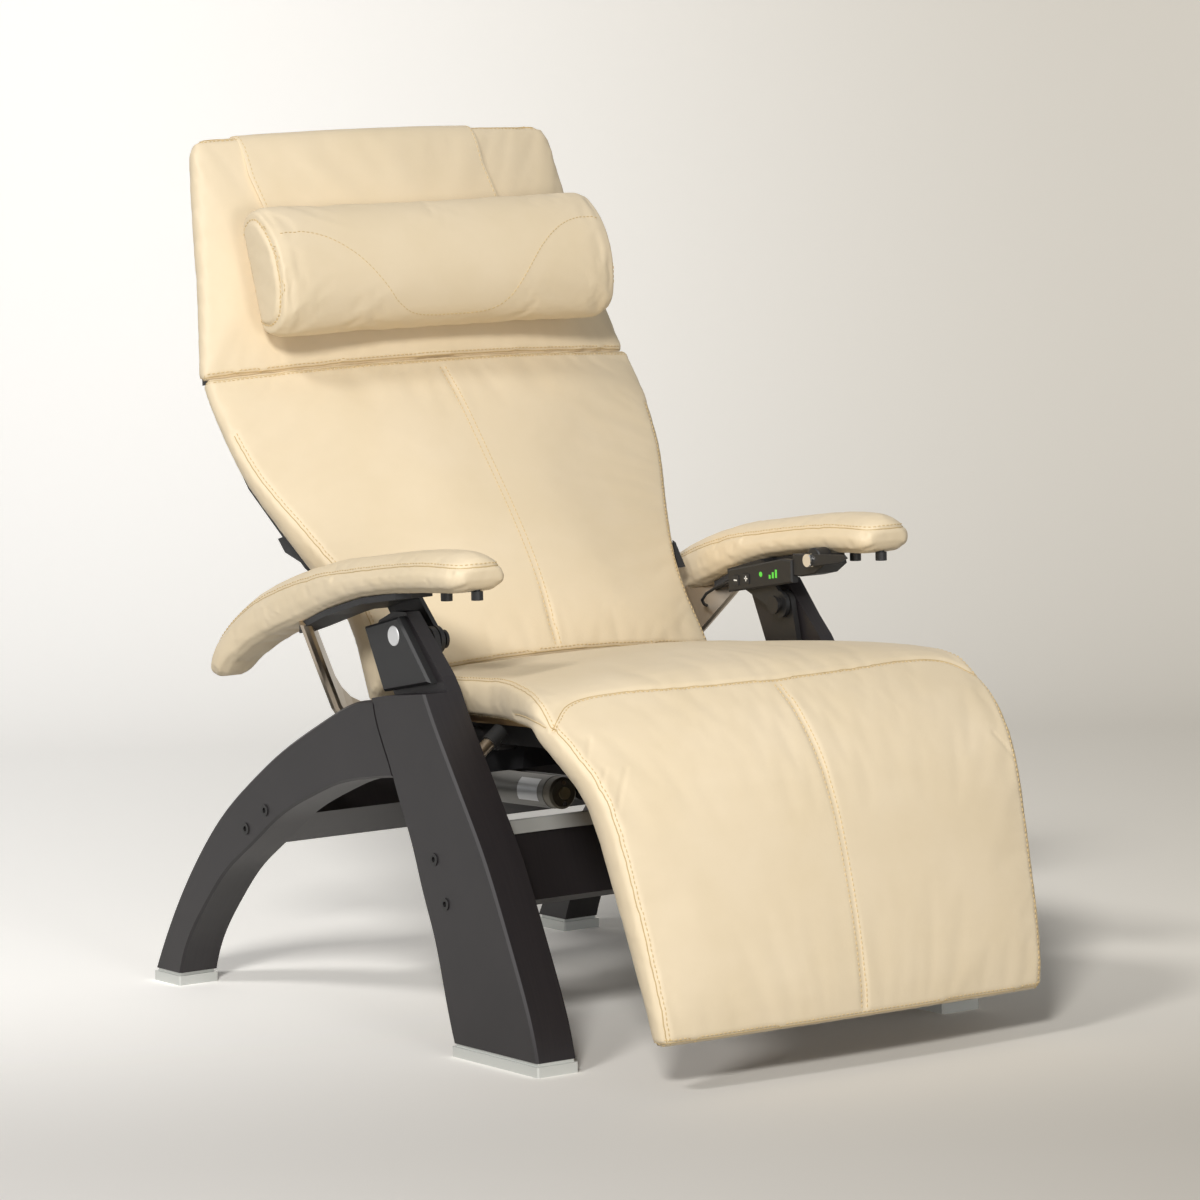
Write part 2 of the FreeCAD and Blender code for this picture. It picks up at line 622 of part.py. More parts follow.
def key_block(p, grow, x0, x1):
    h = KEY_HALF + grow
    return brick(x0, x1, p[0] - h, p[0] + h, p[1] - h, p[1] + h)


panel = poly(PANEL, PANEL_IN, ARM_PLATE_IN)
panel = softened(panel, long_edges(panel, PANEL_IN, 20), 2)
for p in (MINUS_AT, PLUS_AT):
    panel = panel.cut(key_block(p, KEY_GAP, PANEL_IN - 1, PANEL_IN + 5))
mark = rod(PANEL_IN - 0.3, PANEL_IN + 2, MARK_AT, 3.4)
bars = [brick(PANEL_IN - 0.3, PANEL_IN + 2, y - 2, y + 2, z, z + h) for y, z, h in BARS]
display = bars[0].multiFuse(bars[1:] + [mark])
panel = panel.cut(display)
save(panel, "control_panel")
save(display, "display_bars")
for p, name in ((MINUS_AT, "minus_key"), (PLUS_AT, "plus_key")):
    key = key_block(p, 0, PANEL_IN - 1.2, PANEL_IN + 5 - KEY_TRAVEL)
    sign = brick(PANEL_IN - 2, PANEL_IN - 0.9, p[0] - 3.5, p[0] + 3.5, p[1] - 0.7, p[1] + 0.7)
    if name == "plus_key":
        sign = sign.fuse(brick(PANEL_IN - 2, PANEL_IN - 0.9, p[0] - 0.7, p[0] + 0.7, p[1] - 3.5, p[1] + 3.5))
    save(key.cut(sign), name)

CABLE_R = 2.0
CABLE = [(5, (12, 534)), (7, (45, 525)), (13, (80, 512)), (26, (108, 500)), (44, (128, 491)), (65, (142, 485))]
cable_points = [at(PANEL_IN + x, p) for x, p in CABLE]
cable_bits = [tube_between(a, b, CABLE_R) for a, b in zip(cable_points, cable_points[1:])]
cable_bits += [Part.makeSphere(CABLE_R, c) for c in cable_points[1:-1]]
cable = largest(cable_bits[0].multiFuse(cable_bits[1:]).cut(hoop).cut(panel))
save(cable, "panel_cable")

SPOOL_AT = (-174.0, 576.0)
LEVER_BLOCK_IN = ARM_PLATE_IN - 8.0
LEVER_HOUSING = [(-128, 581), (-128, 552), (-146, 552), (-176, 558), (-197, 571), (-192, 584), (-160, 582)]
housing_block = poly(LEVER_HOUSING, LEVER_BLOCK_IN, LEVER_BLOCK_IN + 38)
housing_block = housing_block.fuse(rod(LEVER_BLOCK_IN, LEVER_BLOCK_IN + 20, SPOOL_AT, 16)).removeSplitter()
housing_block = housing_block.cut(pad).cut(arm_bracket)
housing_block = largest(housing_block)
housing_block = softened(housing_block, long_edges(housing_block, LEVER_BLOCK_IN, 10), 1.5)
housing_block = housing_block.cut(panel)
save(housing_block, "lever_housing")
spool_end = LEVER_BLOCK_IN - 11
spool = rod(spool_end, spool_end + 3, SPOOL_AT, 8.5).fuse(rod(spool_end + 3, spool_end + 8, SPOOL_AT, 5))
spool = spool.fuse(rod(spool_end + 8, LEVER_BLOCK_IN, SPOOL_AT, 8.5))
save(spool, "release_spool")
lever_in, lever_out = spool_end + 3.5, spool_end + 7.5
lever = poly([(-174, 584), (-248, 588), (-254, 584), (-240, 578), (-174, 568)], lever_in, lever_out)
lever = lever.fuse(rod(lever_in, lever_out, SPOOL_AT, 8.0)).cut(rod(spool_end, LEVER_BLOCK_IN, SPOOL_AT, 5 + PIN_CLEAR))
save(lever, "release_lever")

# Actuator between the rear crossbar and the seat frame, and the control box on the front beam.
MOTOR_X = -60.0
MOTOR_R = 21.5
ROD_R = 8.0
TUBE_R = 15.0
GEARBOX_D = (34.0, 86.0)
TUBE_END = 225.0
CAN_END = 229.0
CAP_END = 247.0
run = math.hypot(ROD_FRONT[0] - ROD_REAR[0], ROD_FRONT[1] - ROD_REAR[1])
ry, rz = (ROD_FRONT[0] - ROD_REAR[0]) / run, (ROD_FRONT[1] - ROD_REAR[1]) / run


def on_rod(d, off=0.0):
    return (ROD_REAR[0] + ry * d - rz * off, ROD_REAR[1] + rz * d + ry * off)


def bar_along(x, d0, d1, r, off=0.0):
    return tube_between(at(x, on_rod(d0, off)), at(x, on_rod(d1, off)), r)


def block_along(x0, x1, d0, d1, half):
    return poly([on_rod(d0, -half), on_rod(d1, -half), on_rod(d1, half), on_rod(d0, half)], x0, x1)


eye_in, eye_out = ROD_X - 7, ROD_X + 7
gearbox = block_along(MOTOR_X - 25, ROD_X + 20, GEARBOX_D[0], GEARBOX_D[1], 25)
gearbox = gearbox.fuse(block_along(eye_in, eye_out, 0, GEARBOX_D[0], 10)).fuse(rod(eye_in, eye_out, ROD_REAR, 12))
gearbox = gearbox.fuse(bar_along(ROD_X, GEARBOX_D[1], TUBE_END, TUBE_R))
gearbox = gearbox.cut(bar_along(ROD_X, 100, TUBE_END + 1, ROD_R + PIN_CLEAR))
gearbox = gearbox.cut(rod(eye_in - 1, eye_out + 1, ROD_REAR, ROD_PIN_R + PIN_CLEAR))
save(gearbox, "actuator_gearbox")
save(bar_along(MOTOR_X, GEARBOX_D[1], CAN_END, MOTOR_R), "actuator_motor")
end_cap = bar_along(MOTOR_X, CAN_END, CAP_END, MOTOR_R - 0.5)
end_cap = softened(end_cap, [e for e in end_cap.Edges if e.BoundBox.YMin < on_rod(CAP_END)[0] + SHIFT + 1], 3)
hub = bar_along(MOTOR_X, CAP_END, CAP_END + 4, 8)
motor_screws = bar_along(MOTOR_X, CAP_END, CAP_END + 1.5, 3.2, 14)
motor_screws = motor_screws.fuse(bar_along(MOTOR_X, CAP_END, CAP_END + 1.5, 3.2, -14))
save(end_cap, "motor_end_cap")
save(hub, "motor_hub")
save(motor_screws, "motor_screws")
push_rod = bar_along(ROD_X, 118, run - 10, ROD_R).fuse(rod(eye_in, eye_out, ROD_FRONT, 12 + ROD_SLACK / 2))
push_rod = push_rod.cut(rod(eye_in - 1, eye_out + 1, ROD_FRONT, ROD_PIN_R + PIN_CLEAR + ROD_SLACK))
save(push_rod, "push_rod")

cheek = poly([(184, 277), (192, 291), crossbar_point(-half_w, half_t), crossbar_point(-half_w, -half_t)],
             ROD_X - 15, ROD_X - 9)
cheek = cheek.fuse(rod(ROD_X - 15, ROD_X - 9, ROD_REAR, 12)).removeSplitter()
clevis_pin = rod(ROD_X - 18, ROD_X + 18, ROD_REAR, ROD_PIN_R)
clevis = cheek.fuse(cheek.translated(V(24, 0, 0))).cut(clevis_pin).cut(crossbar)
save(clevis, "base_clevis")
save(clevis_pin, "clevis_pin")

control_box = poly([(-184, 181), (-157, 255), (-110, 238), (-137, 164)], 60, 200).cut(beam)
socket = poly([(-160, 196), (-150, 222), (-132, 215), (-142, 189)], 188, 201)
save(control_box.cut(socket), "control_box")
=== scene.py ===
"""Looks of a reclining massage chair: cream leather cushions on dark arched side frames."""

import json
import math

import bmesh
import bpy
import numpy as np
from mathutils import Matrix, Vector
from mathutils.bvhtree import BVHTree
from mathutils.kdtree import KDTree


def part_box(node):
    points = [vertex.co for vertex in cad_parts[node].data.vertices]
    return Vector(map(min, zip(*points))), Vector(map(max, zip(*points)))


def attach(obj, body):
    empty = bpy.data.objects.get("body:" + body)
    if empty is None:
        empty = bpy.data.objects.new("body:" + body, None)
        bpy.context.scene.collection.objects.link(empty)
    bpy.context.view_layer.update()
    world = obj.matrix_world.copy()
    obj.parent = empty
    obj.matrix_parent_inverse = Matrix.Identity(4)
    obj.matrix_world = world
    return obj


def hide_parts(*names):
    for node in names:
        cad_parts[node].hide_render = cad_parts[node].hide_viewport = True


bl_info = {
    "name": "Massage recliner",
    "version": (1, 0, 0),
    "blender": (4, 5, 0),
    "location": "3D View > Sidebar > Recliner",
    "description": "Builds the leather, stitching, finishes and studio of a reclining massage chair",
    "category": "Object",
}

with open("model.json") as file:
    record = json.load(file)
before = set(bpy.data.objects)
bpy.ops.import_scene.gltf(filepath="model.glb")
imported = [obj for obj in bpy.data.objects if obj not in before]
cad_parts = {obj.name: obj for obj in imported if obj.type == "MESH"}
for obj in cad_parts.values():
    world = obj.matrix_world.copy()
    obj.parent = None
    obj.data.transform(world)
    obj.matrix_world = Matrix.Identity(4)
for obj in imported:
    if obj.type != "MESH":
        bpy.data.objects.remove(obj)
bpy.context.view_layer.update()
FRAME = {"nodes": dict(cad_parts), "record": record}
MM = 0.001

# The photograph's camera, worked out from the chair's own edges: lengths in metres and angles in radians,
# but the picture's width and the focal length in its pixels and the sensor in millimetres.
PHOTO_SIZE = 1200.0
FOCAL_PX = 5504.54
SENSOR = 36.0
CAMERA_AT = Vector((-4.0679, -5.8700, 1.3141))
AZIMUTH = -0.607663
ELEVATION = 0.108744
ROLL = -0.024713
CLIP_END = 60.0


class ChairLook(bpy.types.PropertyGroup):
    """Sizes and colours of the chair's finish."""

    leather_colour: bpy.props.StringProperty(
        name="Leather", description="Cream leather, sRGB hex", default="E9D8B9")
    # The seam colour is the leather darkened, as painted shade in the seams.
    seam_shade_colour: bpy.props.StringProperty(
        name="Seam", description="Leather darkened as painted shade in the seams, sRGB hex", default="C9B183")
    thread_colour: bpy.props.StringProperty(
        name="Thread", description="Top-stitching thread, sRGB hex", default="D8BF8C")
    wood_colour: bpy.props.StringProperty(
        name="Wood", description="Espresso stain on the side frames, sRGB hex", default="221F21")
    foam_cell: bpy.props.FloatProperty(
        name="Foam mesh", description="Edge length of the cushions' mesh", default=7 * MM, unit="LENGTH")
    stitch_pitch: bpy.props.FloatProperty(
        name="Stitch pitch", description="Distance from stitch to stitch", default=6.5 * MM, unit="LENGTH")
    stitch_length: bpy.props.FloatProperty(
        name="Stitch length", description="Length of one stitch", default=4.6 * MM, unit="LENGTH")
    stitch_radius: bpy.props.FloatProperty(
        name="Thread radius", description="Half the thread's thickness", default=0.65 * MM, unit="LENGTH")
    seam_width: bpy.props.FloatProperty(
        name="Seam width", description="Half-width of the dip along a seam", default=9 * MM, unit="LENGTH")
    seam_depth: bpy.props.FloatProperty(
        name="Seam depth", description="Depth of the dip along a seam", default=2.6 * MM, unit="LENGTH")


def look():
    """The user's settings."""
    return bpy.context.scene.chair_look


def srgb(code):
    """Linear RGBA from an sRGB hex code."""
    out = []
    for i in (0, 2, 4):
        c = int(code[i:i + 2], 16) / 255.0
        out.append(c / 12.92 if c <= 0.04045 else ((c + 0.055) / 1.055) ** 2.4)
    return (*out, 1.0)


def add(tree, kind, settings=None, **links):
    """Adds a node; settings are attributes, links are values or sockets by input name."""
    n = tree.nodes.new(kind)
    for key, value in (settings or {}).items():
        setattr(n, key, value)
    for key, value in links.items():
        target = n.inputs[key.replace("_", " ")]
        if isinstance(value, bpy.types.NodeSocket):
            tree.links.new(value, target)
        else:
            target.default_value = value
    return n


def material(name, code, rough, metal=0.0, ior=1.5, **extra):
    """A plain finish: sRGB hex colour, roughness, metallic, IOR, and other inputs of the shader by name."""
    m = bpy.data.materials.new(name)
    m.use_nodes = True
    m.node_tree.nodes.clear()
    t = m.node_tree
    shader = add(t, "ShaderNodeBsdfPrincipled", None, Base_Color=srgb(code), Roughness=rough, Metallic=metal,
                 IOR=ior, **extra)
    out = add(t, "ShaderNodeOutputMaterial")
    t.links.new(shader.outputs[0], out.inputs["Surface"])
    return m


def shader_of(m):
    """The material's shader."""
    return next(n for n in m.node_tree.nodes if n.type == "BSDF_PRINCIPLED")


def bump(m, pattern, strength, depth):
    """Raises the surface by a pattern, up to a depth in metres."""
    t = m.node_tree
    b = add(t, "ShaderNodeBump", None, Strength=strength, Distance=depth, Height=pattern)
    t.links.new(b.outputs["Normal"], shader_of(m).inputs["Normal"])


def placed(m, scale):
    """Object coordinates with a scale per metre, as a vector socket."""
    t = m.node_tree
    co = add(t, "ShaderNodeTexCoord")
    return add(t, "ShaderNodeMapping", None, Vector=co.outputs["Object"], Scale=scale).outputs["Vector"]


def toned(m, pattern, code, start, end, dark, light):
    """Colours the material between two tints of its own colour, as a pattern rises from start to end."""
    t = m.node_tree
    tone = add(t, "ShaderNodeValToRGB", None, Fac=pattern)
    for stop, at, tint in zip(tone.color_ramp.elements, (start, end), (dark, light)):
        stop.position = at
        stop.color = (*(c * k for c, k in zip(srgb(code), tint)), 1)
    t.links.new(tone.outputs[0], shader_of(m).inputs["Base Color"])


def leather(name, code):
    """Full-grain upholstery hide, matte: fine pebble grain, faint cloudy tone, soft broad highlight."""
    m = material(name, code, 0.52, Specular_IOR_Level=0.38, Sheen_Weight=0.06, Sheen_Roughness=0.5)
    t = m.node_tree
    grain_mm = 1.6
    cloud_mm = 111.1
    where = placed(m, (1.0, 1.0, 1.0))
    pebble = add(t, "ShaderNodeTexVoronoi", {"feature": "SMOOTH_F1"}, Vector=where,
                 Scale=1.0 / (grain_mm * MM))
    cloud = add(t, "ShaderNodeTexNoise", None, Vector=where, Scale=1.0 / (cloud_mm * MM), Detail=4.0,
                Roughness=0.6)
    toned(m, cloud.outputs[0], code, 0.3, 0.7, (0.965, 0.955, 0.93), (1.01, 1.01, 1.02))
    bump(m, pebble.outputs["Distance"], 0.10, 0.4 * MM)
    return m


def stained_wood(name, code):
    """Steam-bent beech plywood, espresso stain under matt lacquer: long faint grain, soft sheen."""
    m = material(name, code, 0.46, Specular_IOR_Level=0.4, Coat_Weight=0.12, Coat_Roughness=0.35)
    grain_mm = 3.0
    streak_mm = 100.0
    where = placed(m, (1.0 / (grain_mm * MM), 1.0 / (streak_mm * MM), 1.0 / (streak_mm * MM)))
    grain = add(m.node_tree, "ShaderNodeTexNoise", None, Vector=where, Scale=1.0, Detail=5.0, Roughness=0.55)
    toned(m, grain.outputs[0], code, 0.35, 0.75, (0.82, 0.80, 0.80), (1.12, 1.10, 1.08))
    bump(m, grain.outputs[0], 0.06, 0.4 * MM)
    return m


def brushed(name, code, rough, metal=1.0):
    """Metal with fine straight brushing along its length; the anodised kind is duller."""
    m = material(name, code, rough, metal=metal)
    line_mm = 1.111
    stroke_mm = 16.67
    where = placed(m, (1.0 / (line_mm * MM), 1.0 / (stroke_mm * MM), 1.0 / (line_mm * MM)))
    lines = add(m.node_tree, "ShaderNodeTexNoise", None, Vector=where, Scale=1.0, Detail=2.0)
    bump(m, lines.outputs[0], 0.04, 0.2 * MM)
    return m


def textured_plastic(name, code, rough, grain_mm):
    """Moulded ABS with a spark-eroded grain."""
    m = material(name, code, rough, ior=1.53, Specular_IOR_Level=0.45)
    where = placed(m, (1.0, 1.0, 1.0))
    grain = add(m.node_tree, "ShaderNodeTexNoise", None, Vector=where, Scale=1.0 / (grain_mm * MM),
                Detail=2.0)
    bump(m, grain.outputs[0], 0.12, 0.3 * MM)
    return m


def woven(name, code, thread_mm):
    """Plain-woven polyester lining: crossing threads, dull."""
    m = material(name, code, 0.95, Specular_IOR_Level=0.2)
    t = m.node_tree
    # A wave texture at scale 1 has 20 radians to the metre.
    scale = math.pi / (thread_mm * MM) / 20
    where = placed(m, (1.0, 1.0, 1.0))
    warp = add(t, "ShaderNodeTexWave", {"bands_direction": "X"}, Vector=where, Scale=scale)
    weft = add(t, "ShaderNodeTexWave", {"bands_direction": "Y"}, Vector=where, Scale=scale)
    both = add(t, "ShaderNodeMath", {"operation": "MAXIMUM"})
    t.links.new(warp.outputs["Fac"], both.inputs[0])
    t.links.new(weft.outputs["Fac"], both.inputs[1])
    bump(m, both.outputs[0], 0.3, 0.5 * MM)
    return m


FINISH = {}


def make_finishes():
    """One finish for each slot of the record, and those of the loose details."""
    p = look()
    FINISH.update({
        "leather": leather("Cream upholstery leather", p.leather_colour),
        # The same leather again, darker, as painted shade in the seams.
        "seam": leather("Cream leather in the seams", p.seam_shade_colour),
        # A little darker than the hide and dull, so that a row reads as a fine line.
        "thread": material("Bonded polyester thread", p.thread_colour, 0.6),
        "wood": stained_wood("Espresso stained beech", p.wood_colour),
        # The pale oxide takes the mirror out of the metal.
        "foot_aluminium": brushed("Satin anodised aluminium", "D6D8D4", 0.42, 0.55),
        # Warm, with its highlight drawn out along the strip.
        "satin_metal": brushed("Satin nickel strip", "B3A797", 0.30),
        # Mirrors the studio.
        "chrome": material("Polished chrome", "E6E6E6", 0.08, metal=1.0),
        # Black with a soft, even sheen.
        "dark_steel": material("Black powder-coated steel", "1C1B1B", 0.5),
        "black_plastic": textured_plastic("Black moulded ABS", "202021", 0.5, 0.8),
        # Slightly paler than the panel around it, and without its gloss.
        "key_grey": material("Soft-touch grey key", "2A2A2B", 0.6),
        # Duller than the plastic.
        "black_rubber": material("Black rubber", "191919", 0.7),
        "black_fabric": woven("Black woven lining", "1A1A1C", 1.2),
        # Pale wood that shows only from below.
        "plywood": material("Bent birch plywood", "B99B72", 0.6),
        # Mid grey, with a blurred highlight along the can.
        "motor_can": material("Zinc-plated motor can", "6A6965", 0.4, metal=0.6),
        # Porous, so a dull gold; also made paler as painted light, against the shade that it sits in.
        "bronze": material("Sintered bronze bush", "B0A280", 0.42, metal=0.6),
        # Rough casting, darker and warmer than the can; also made paler as painted light, against the shade
        # that it sits in.
        "motor_cap": material("Cast motor end cap", "6A6456", 0.45, metal=0.4),
        # Paler than the nickel, and dull enough to stay pale from every side.
        "medallion": brushed("Bare satin disc", "DEDFE0", 0.45, 0.4),
        # Lit from behind, so it glows a little.
        "green_display": material("Green light-guide segment", "4DAE3A", 0.3, Emission_Color=srgb("4FC23A"),
                                  Emission_Strength=0.6),
        # Flat ink.
        "print_white": material("White pad print", "F4F4F0", 0.6),
        # Foil with a blurred mirror.
        "label": material("Plain silver foil label", "C4C6C8", 0.35, metal=0.4),
    })


# Parts whose finish differs a little from the rest of their slot.
OWN_FINISH = {"pivot_medallions": "medallion", "motor_end_cap": "motor_cap"}


def dress_nodes():
    """Gives each rigid part the finish of its slot."""
    for row in FRAME["record"]["subparts"]:
        mesh = FRAME["nodes"][row["node"]].data
        mesh.materials.clear()
        mesh.materials.append(FINISH[OWN_FINISH.get(row["node"], row["material_slot"])])


def new_object(name, mesh, finish):
    """Adds a mesh to the scene in one finish."""
    o = bpy.data.objects.new(name, mesh)
    bpy.context.scene.collection.objects.link(o)
    mesh.materials.clear()
    mesh.materials.append(FINISH[finish])
    return o


def evaluated_mesh(o):
    """Bakes the object's modifiers into a plain mesh."""
    dg = bpy.context.evaluated_depsgraph_get()
    mesh = bpy.data.meshes.new_from_object(o.evaluated_get(dg))
    old = o.data
    o.modifiers.clear()
    o.data = mesh
    if old.users == 0:
        bpy.data.meshes.remove(old)


def merged_copy(nodes):
    """The mesh of one or more CAD nodes, with the loose triangles joined."""
    mesh = FRAME["nodes"][nodes[0]].data.copy()
    bm = bmesh.new()
    for node in nodes:
        bm.from_mesh(FRAME["nodes"][node].data)
    bmesh.ops.remove_doubles(bm, verts=bm.verts, dist=0.02 * MM)
    bm.to_mesh(mesh)
    bm.free()
    for layer in list(mesh.uv_layers):
        mesh.uv_layers.remove(layer)
    if mesh.has_custom_normals:
        mesh.attributes.remove(mesh.attributes["custom_normal"])
    return mesh


def sharp_lines(mesh, degrees):
    """Chains of the mesh's sharp edges, each a list of points: these are where panels are sewn together."""
    bm = bmesh.new()
    bm.from_mesh(mesh)
    limit = math.radians(degrees)
    sharp = [e for e in bm.edges if len(e.link_faces) == 2 and e.calc_face_angle(0) > limit]
    at = {}
    for e in sharp:
        for v in e.verts:
            at.setdefault(v.index, []).append(e)
    unused = {e.index: e for e in sharp}
    lines = []
    while unused:
        ends = [e for e in unused.values() if any(len(at[v.index]) != 2 for v in e.verts)]
        edge = ends[0] if ends else next(iter(unused.values()))
        a, b = edge.verts
        if len(at[a.index]) == 2:
            a, b = b, a
        line = [a.co.copy(), b.co.copy()]
        del unused[edge.index]
        while len(at[b.index]) == 2:
            following = [e for e in at[b.index] if e.index in unused]
            if not following:
                break
            edge = following[0]
            del unused[edge.index]
            b = edge.other_vert(b)
            line.append(b.co.copy())
        lines.append(line)
    bm.free()
    return lines


def even(points, step):
    """Points at a steady step along a line."""
    p = np.array([list(q) for q in points])
    seg = np.linalg.norm(np.diff(p, axis=0), axis=1)
    run = np.concatenate([[0.0], np.cumsum(seg)])
    count = max(2, int(run[-1] / step) + 1)
    s = np.linspace(0, run[-1], count)
    return [Vector([float(np.interp(t, run, p[:, k])) for k in range(3)]) for t in s]


def smoothed_line(points):
    """A smooth curve through a few points, as points at a steady step."""
    pieces = 12
    pts = [Vector(q) for q in points]
    out = []
    for i in range(len(pts) - 1):
        before = pts[i - 1] if i else pts[i] * 2 - pts[i + 1]
        after = pts[i + 2] if i + 2 < len(pts) else pts[i + 1] * 2 - pts[i]
        for k in range(pieces):
            t = k / pieces
            a = pts[i + 1] - before
            b = before * 2 - pts[i] * 5 + pts[i + 1] * 4 - after
            c = (pts[i] - pts[i + 1]) * 3 + after - before
            out.append(pts[i] + (a + (b + c * t) * t) * (0.5 * t))
    out.append(pts[-1])
    return even(out, 6 * MM)


def mirrored(points):
    """The points on the chair's other side, in the other order."""
    return [(-x, y, z) for x, y, z in reversed(points)]


def tree_of(lines):
    """A tree that finds the lines' nearest point."""
    pts = [q for line in lines for q in even(line, 3 * MM)]
    kd = KDTree(max(1, len(pts)))
    for i, q in enumerate(pts):
        kd.insert(q, i)
    kd.balance()
    return kd


def surface_of(o):
    """A tree that finds an object's nearest point, or the one that a ray hits."""
    bm = bmesh.new()
    bm.from_mesh(o.data)
    tree = BVHTree.FromBMesh(bm)
    bm.free()
    return tree


# How a hide behaves in the cloth simulation.
HIDE_CLOTH = {"quality": 6, "mass": 0.4, "tension_stiffness": 12, "compression_stiffness": 12,
              "shear_stiffness": 4, "bending_stiffness": 0.8, "air_damping": 2, "use_pressure": True,
              "vertex_group_mass": "Sewn", "pin_stiffness": 1}
SWELL_FRAMES = 20
# Leather this near to a seam is held by it, and leather that faces this squarely backwards lies on its board.
SEWN_WITHIN = 5 * MM
GLUED_FACING = 0.75


def swell(o, puff, slack):
    """Blows the leather up over its foam, held where it is sewn; slack is how much larger the hide is cut."""
    cloth = o.modifiers.new("Swell", "CLOTH")
    for key, value in HIDE_CLOTH.items():
        setattr(cloth.settings, key, value)
    cloth.settings.uniform_pressure_force = puff
    cloth.settings.shrink_min = -slack
    cloth.settings.effector_weights.gravity = 0
    cloth.collision_settings.use_self_collision = False
    cloth.collision_settings.use_collision = False
    cloth.point_cache.frame_start = 1
    cloth.point_cache.frame_end = SWELL_FRAMES
    for frame in range(1, SWELL_FRAMES + 1):
        bpy.context.scene.frame_set(frame)
    evaluated_mesh(o)
    bpy.context.scene.frame_set(1)


def cushion(name, nodes, body, rear, seams, puff, slack, cap, sharp=38, cell=None, joined=None):
    """Sews one leather over its CAD nodes: panels pinned at their seams, swollen by the foam inside.

    An edge sharper than sharp, in degrees, is a seam. Rear is the way that the board behind it faces. No
    point swells further than cap. Where the leather runs on from one cushion to the next, joined tells a point
    of that joint from the rest.
    """
    mesh = merged_copy(nodes)
    welts = sharp_lines(mesh, sharp)
    if joined:
        welts = [line for line in welts if not all(joined(q) for q in line)]
    o = new_object(name, mesh, "leather")
    grid = o.modifiers.new("Grid", "REMESH")
    grid.mode = "VOXEL"
    grid.voxel_size = cell or look().foam_cell
    evaluated_mesh(o)
    held = tree_of(welts)
    rest = [v.co.copy() for v in o.data.vertices]
    pins = o.vertex_groups.new(name="Sewn")
    for v in o.data.vertices:
        sewn = held.find(v.co)[2] < SEWN_WITHIN
        glued = rear and v.normal.dot(rear) > GLUED_FACING
        if sewn or glued:
            pins.add([v.index], 1.0, "REPLACE")
    swell(o, puff, slack)
    moves = [v.co - q for v, q in zip(o.data.vertices, rest)]
    share = min(1.0, cap / max(1e-6, max(m.length for m in moves)))
    for v, q, m in zip(o.data.vertices, rest, moves):
        v.co = q + m * share
    fine = o.modifiers.new("Fine", "SUBSURF")
    fine.levels = fine.render_levels = 1
    evaluated_mesh(o)
    dip_along(o, welts + seams)
    o.data.shade_smooth()
    o.data.materials.clear()
    o.data.materials.append(FINISH["leather"])
    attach(o, body)
    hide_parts(*nodes)
    return o, welts


def dip_along(o, lines, width=None, depth=None):
    """Draws the leather in along its seams; width is half the dip's."""
    width = width or look().seam_width
    depth = depth or look().seam_depth
    near = tree_of(lines)
    mesh = o.data
    normals = [v.normal.copy() for v in mesh.vertices]
    for v in mesh.vertices:
        d = near.find(v.co)[2]
        if d < width:
            v.co -= normals[v.index] * depth * (1 - (d / width) ** 2) ** 2
    mesh.update()


def settled(lines, o, lift=0.0):
    """The lines moved onto the finished leather."""
    tree = surface_of(o)
    out = []
    for line in lines:
        hits = [tree.find_nearest(q)[:2] for q in even(line, 5 * MM)]
        out.append([spot + normal * lift for spot, normal in hits])
    return out


def heading(line, i):
    """Which way a line runs at its point i."""
    return (line[min(i + 1, len(line) - 1)] - line[max(i - 1, 0)]).normalized()


def beside(line, o, offset, lift):
    """A line at a steady offset to one side of a seam, on the leather."""
    tree = surface_of(o)
    out = []
    for i, q in enumerate(line):
        aside = heading(line, i).cross(tree.find_nearest(q)[1])
        spot, normal, _, _ = tree.find_nearest(q + aside * offset)
        out.append(spot + normal * lift)
    return out


def run_tree(name):
    """Begins a tree that lays a repeated or swept detail along a line mesh."""
    t = bpy.data.node_groups.new(name, "GeometryNodeTree")
    face = t.interface
    face.new_socket("Geometry", in_out="INPUT", socket_type="NodeSocketGeometry")
    for label in ("Pitch", "Length", "Radius"):
        face.new_socket(label, in_out="INPUT", socket_type="NodeSocketFloat")
    face.new_socket("Material", in_out="INPUT", socket_type="NodeSocketMaterial")
    face.new_socket("Geometry", in_out="OUTPUT", socket_type="NodeSocketGeometry")
    given = t.nodes.new("NodeGroupInput").outputs
    return t, given, add(t, "GeometryNodeMeshToCurve", None, Mesh=given["Geometry"]).outputs[0]


def end_tree(t, given, shape):
    """Ends a tree: real geometry, shaded smooth, in the material that it is given."""
    real = add(t, "GeometryNodeRealizeInstances", None, Geometry=shape)
    smooth = add(t, "GeometryNodeSetShadeSmooth", None, Geometry=real.outputs[0])
    done = add(t, "GeometryNodeSetMaterial", None, Geometry=smooth.outputs[0], Material=given["Material"])
    t.links.new(done.outputs[0], t.nodes.new("NodeGroupOutput").inputs[0])
    return t


def stitch_tree():
    """Sewing stitches: short rounded lengths of thread at a steady pitch."""
    t, given, curve = run_tree("Stitches")
    points = add(t, "GeometryNodeCurveToPoints", {"mode": "LENGTH"}, Curve=curve, Length=given["Pitch"])
    half = add(t, "ShaderNodeMath", {"operation": "DIVIDE"})
    t.links.new(given["Length"], half.inputs[0])
    half.inputs[1].default_value = 2.0
    bead = add(t, "GeometryNodeMeshUVSphere", None, Segments=6, Rings=5, Radius=1.0)
    size = add(t, "ShaderNodeCombineXYZ", None, X=given["Radius"], Y=given["Radius"], Z=half.outputs[0])
    laid = add(t, "GeometryNodeInstanceOnPoints", None, Points=points.outputs["Points"],
               Instance=bead.outputs[0], Rotation=points.outputs["Rotation"], Scale=size.outputs[0])
    return end_tree(t, given, laid.outputs[0])


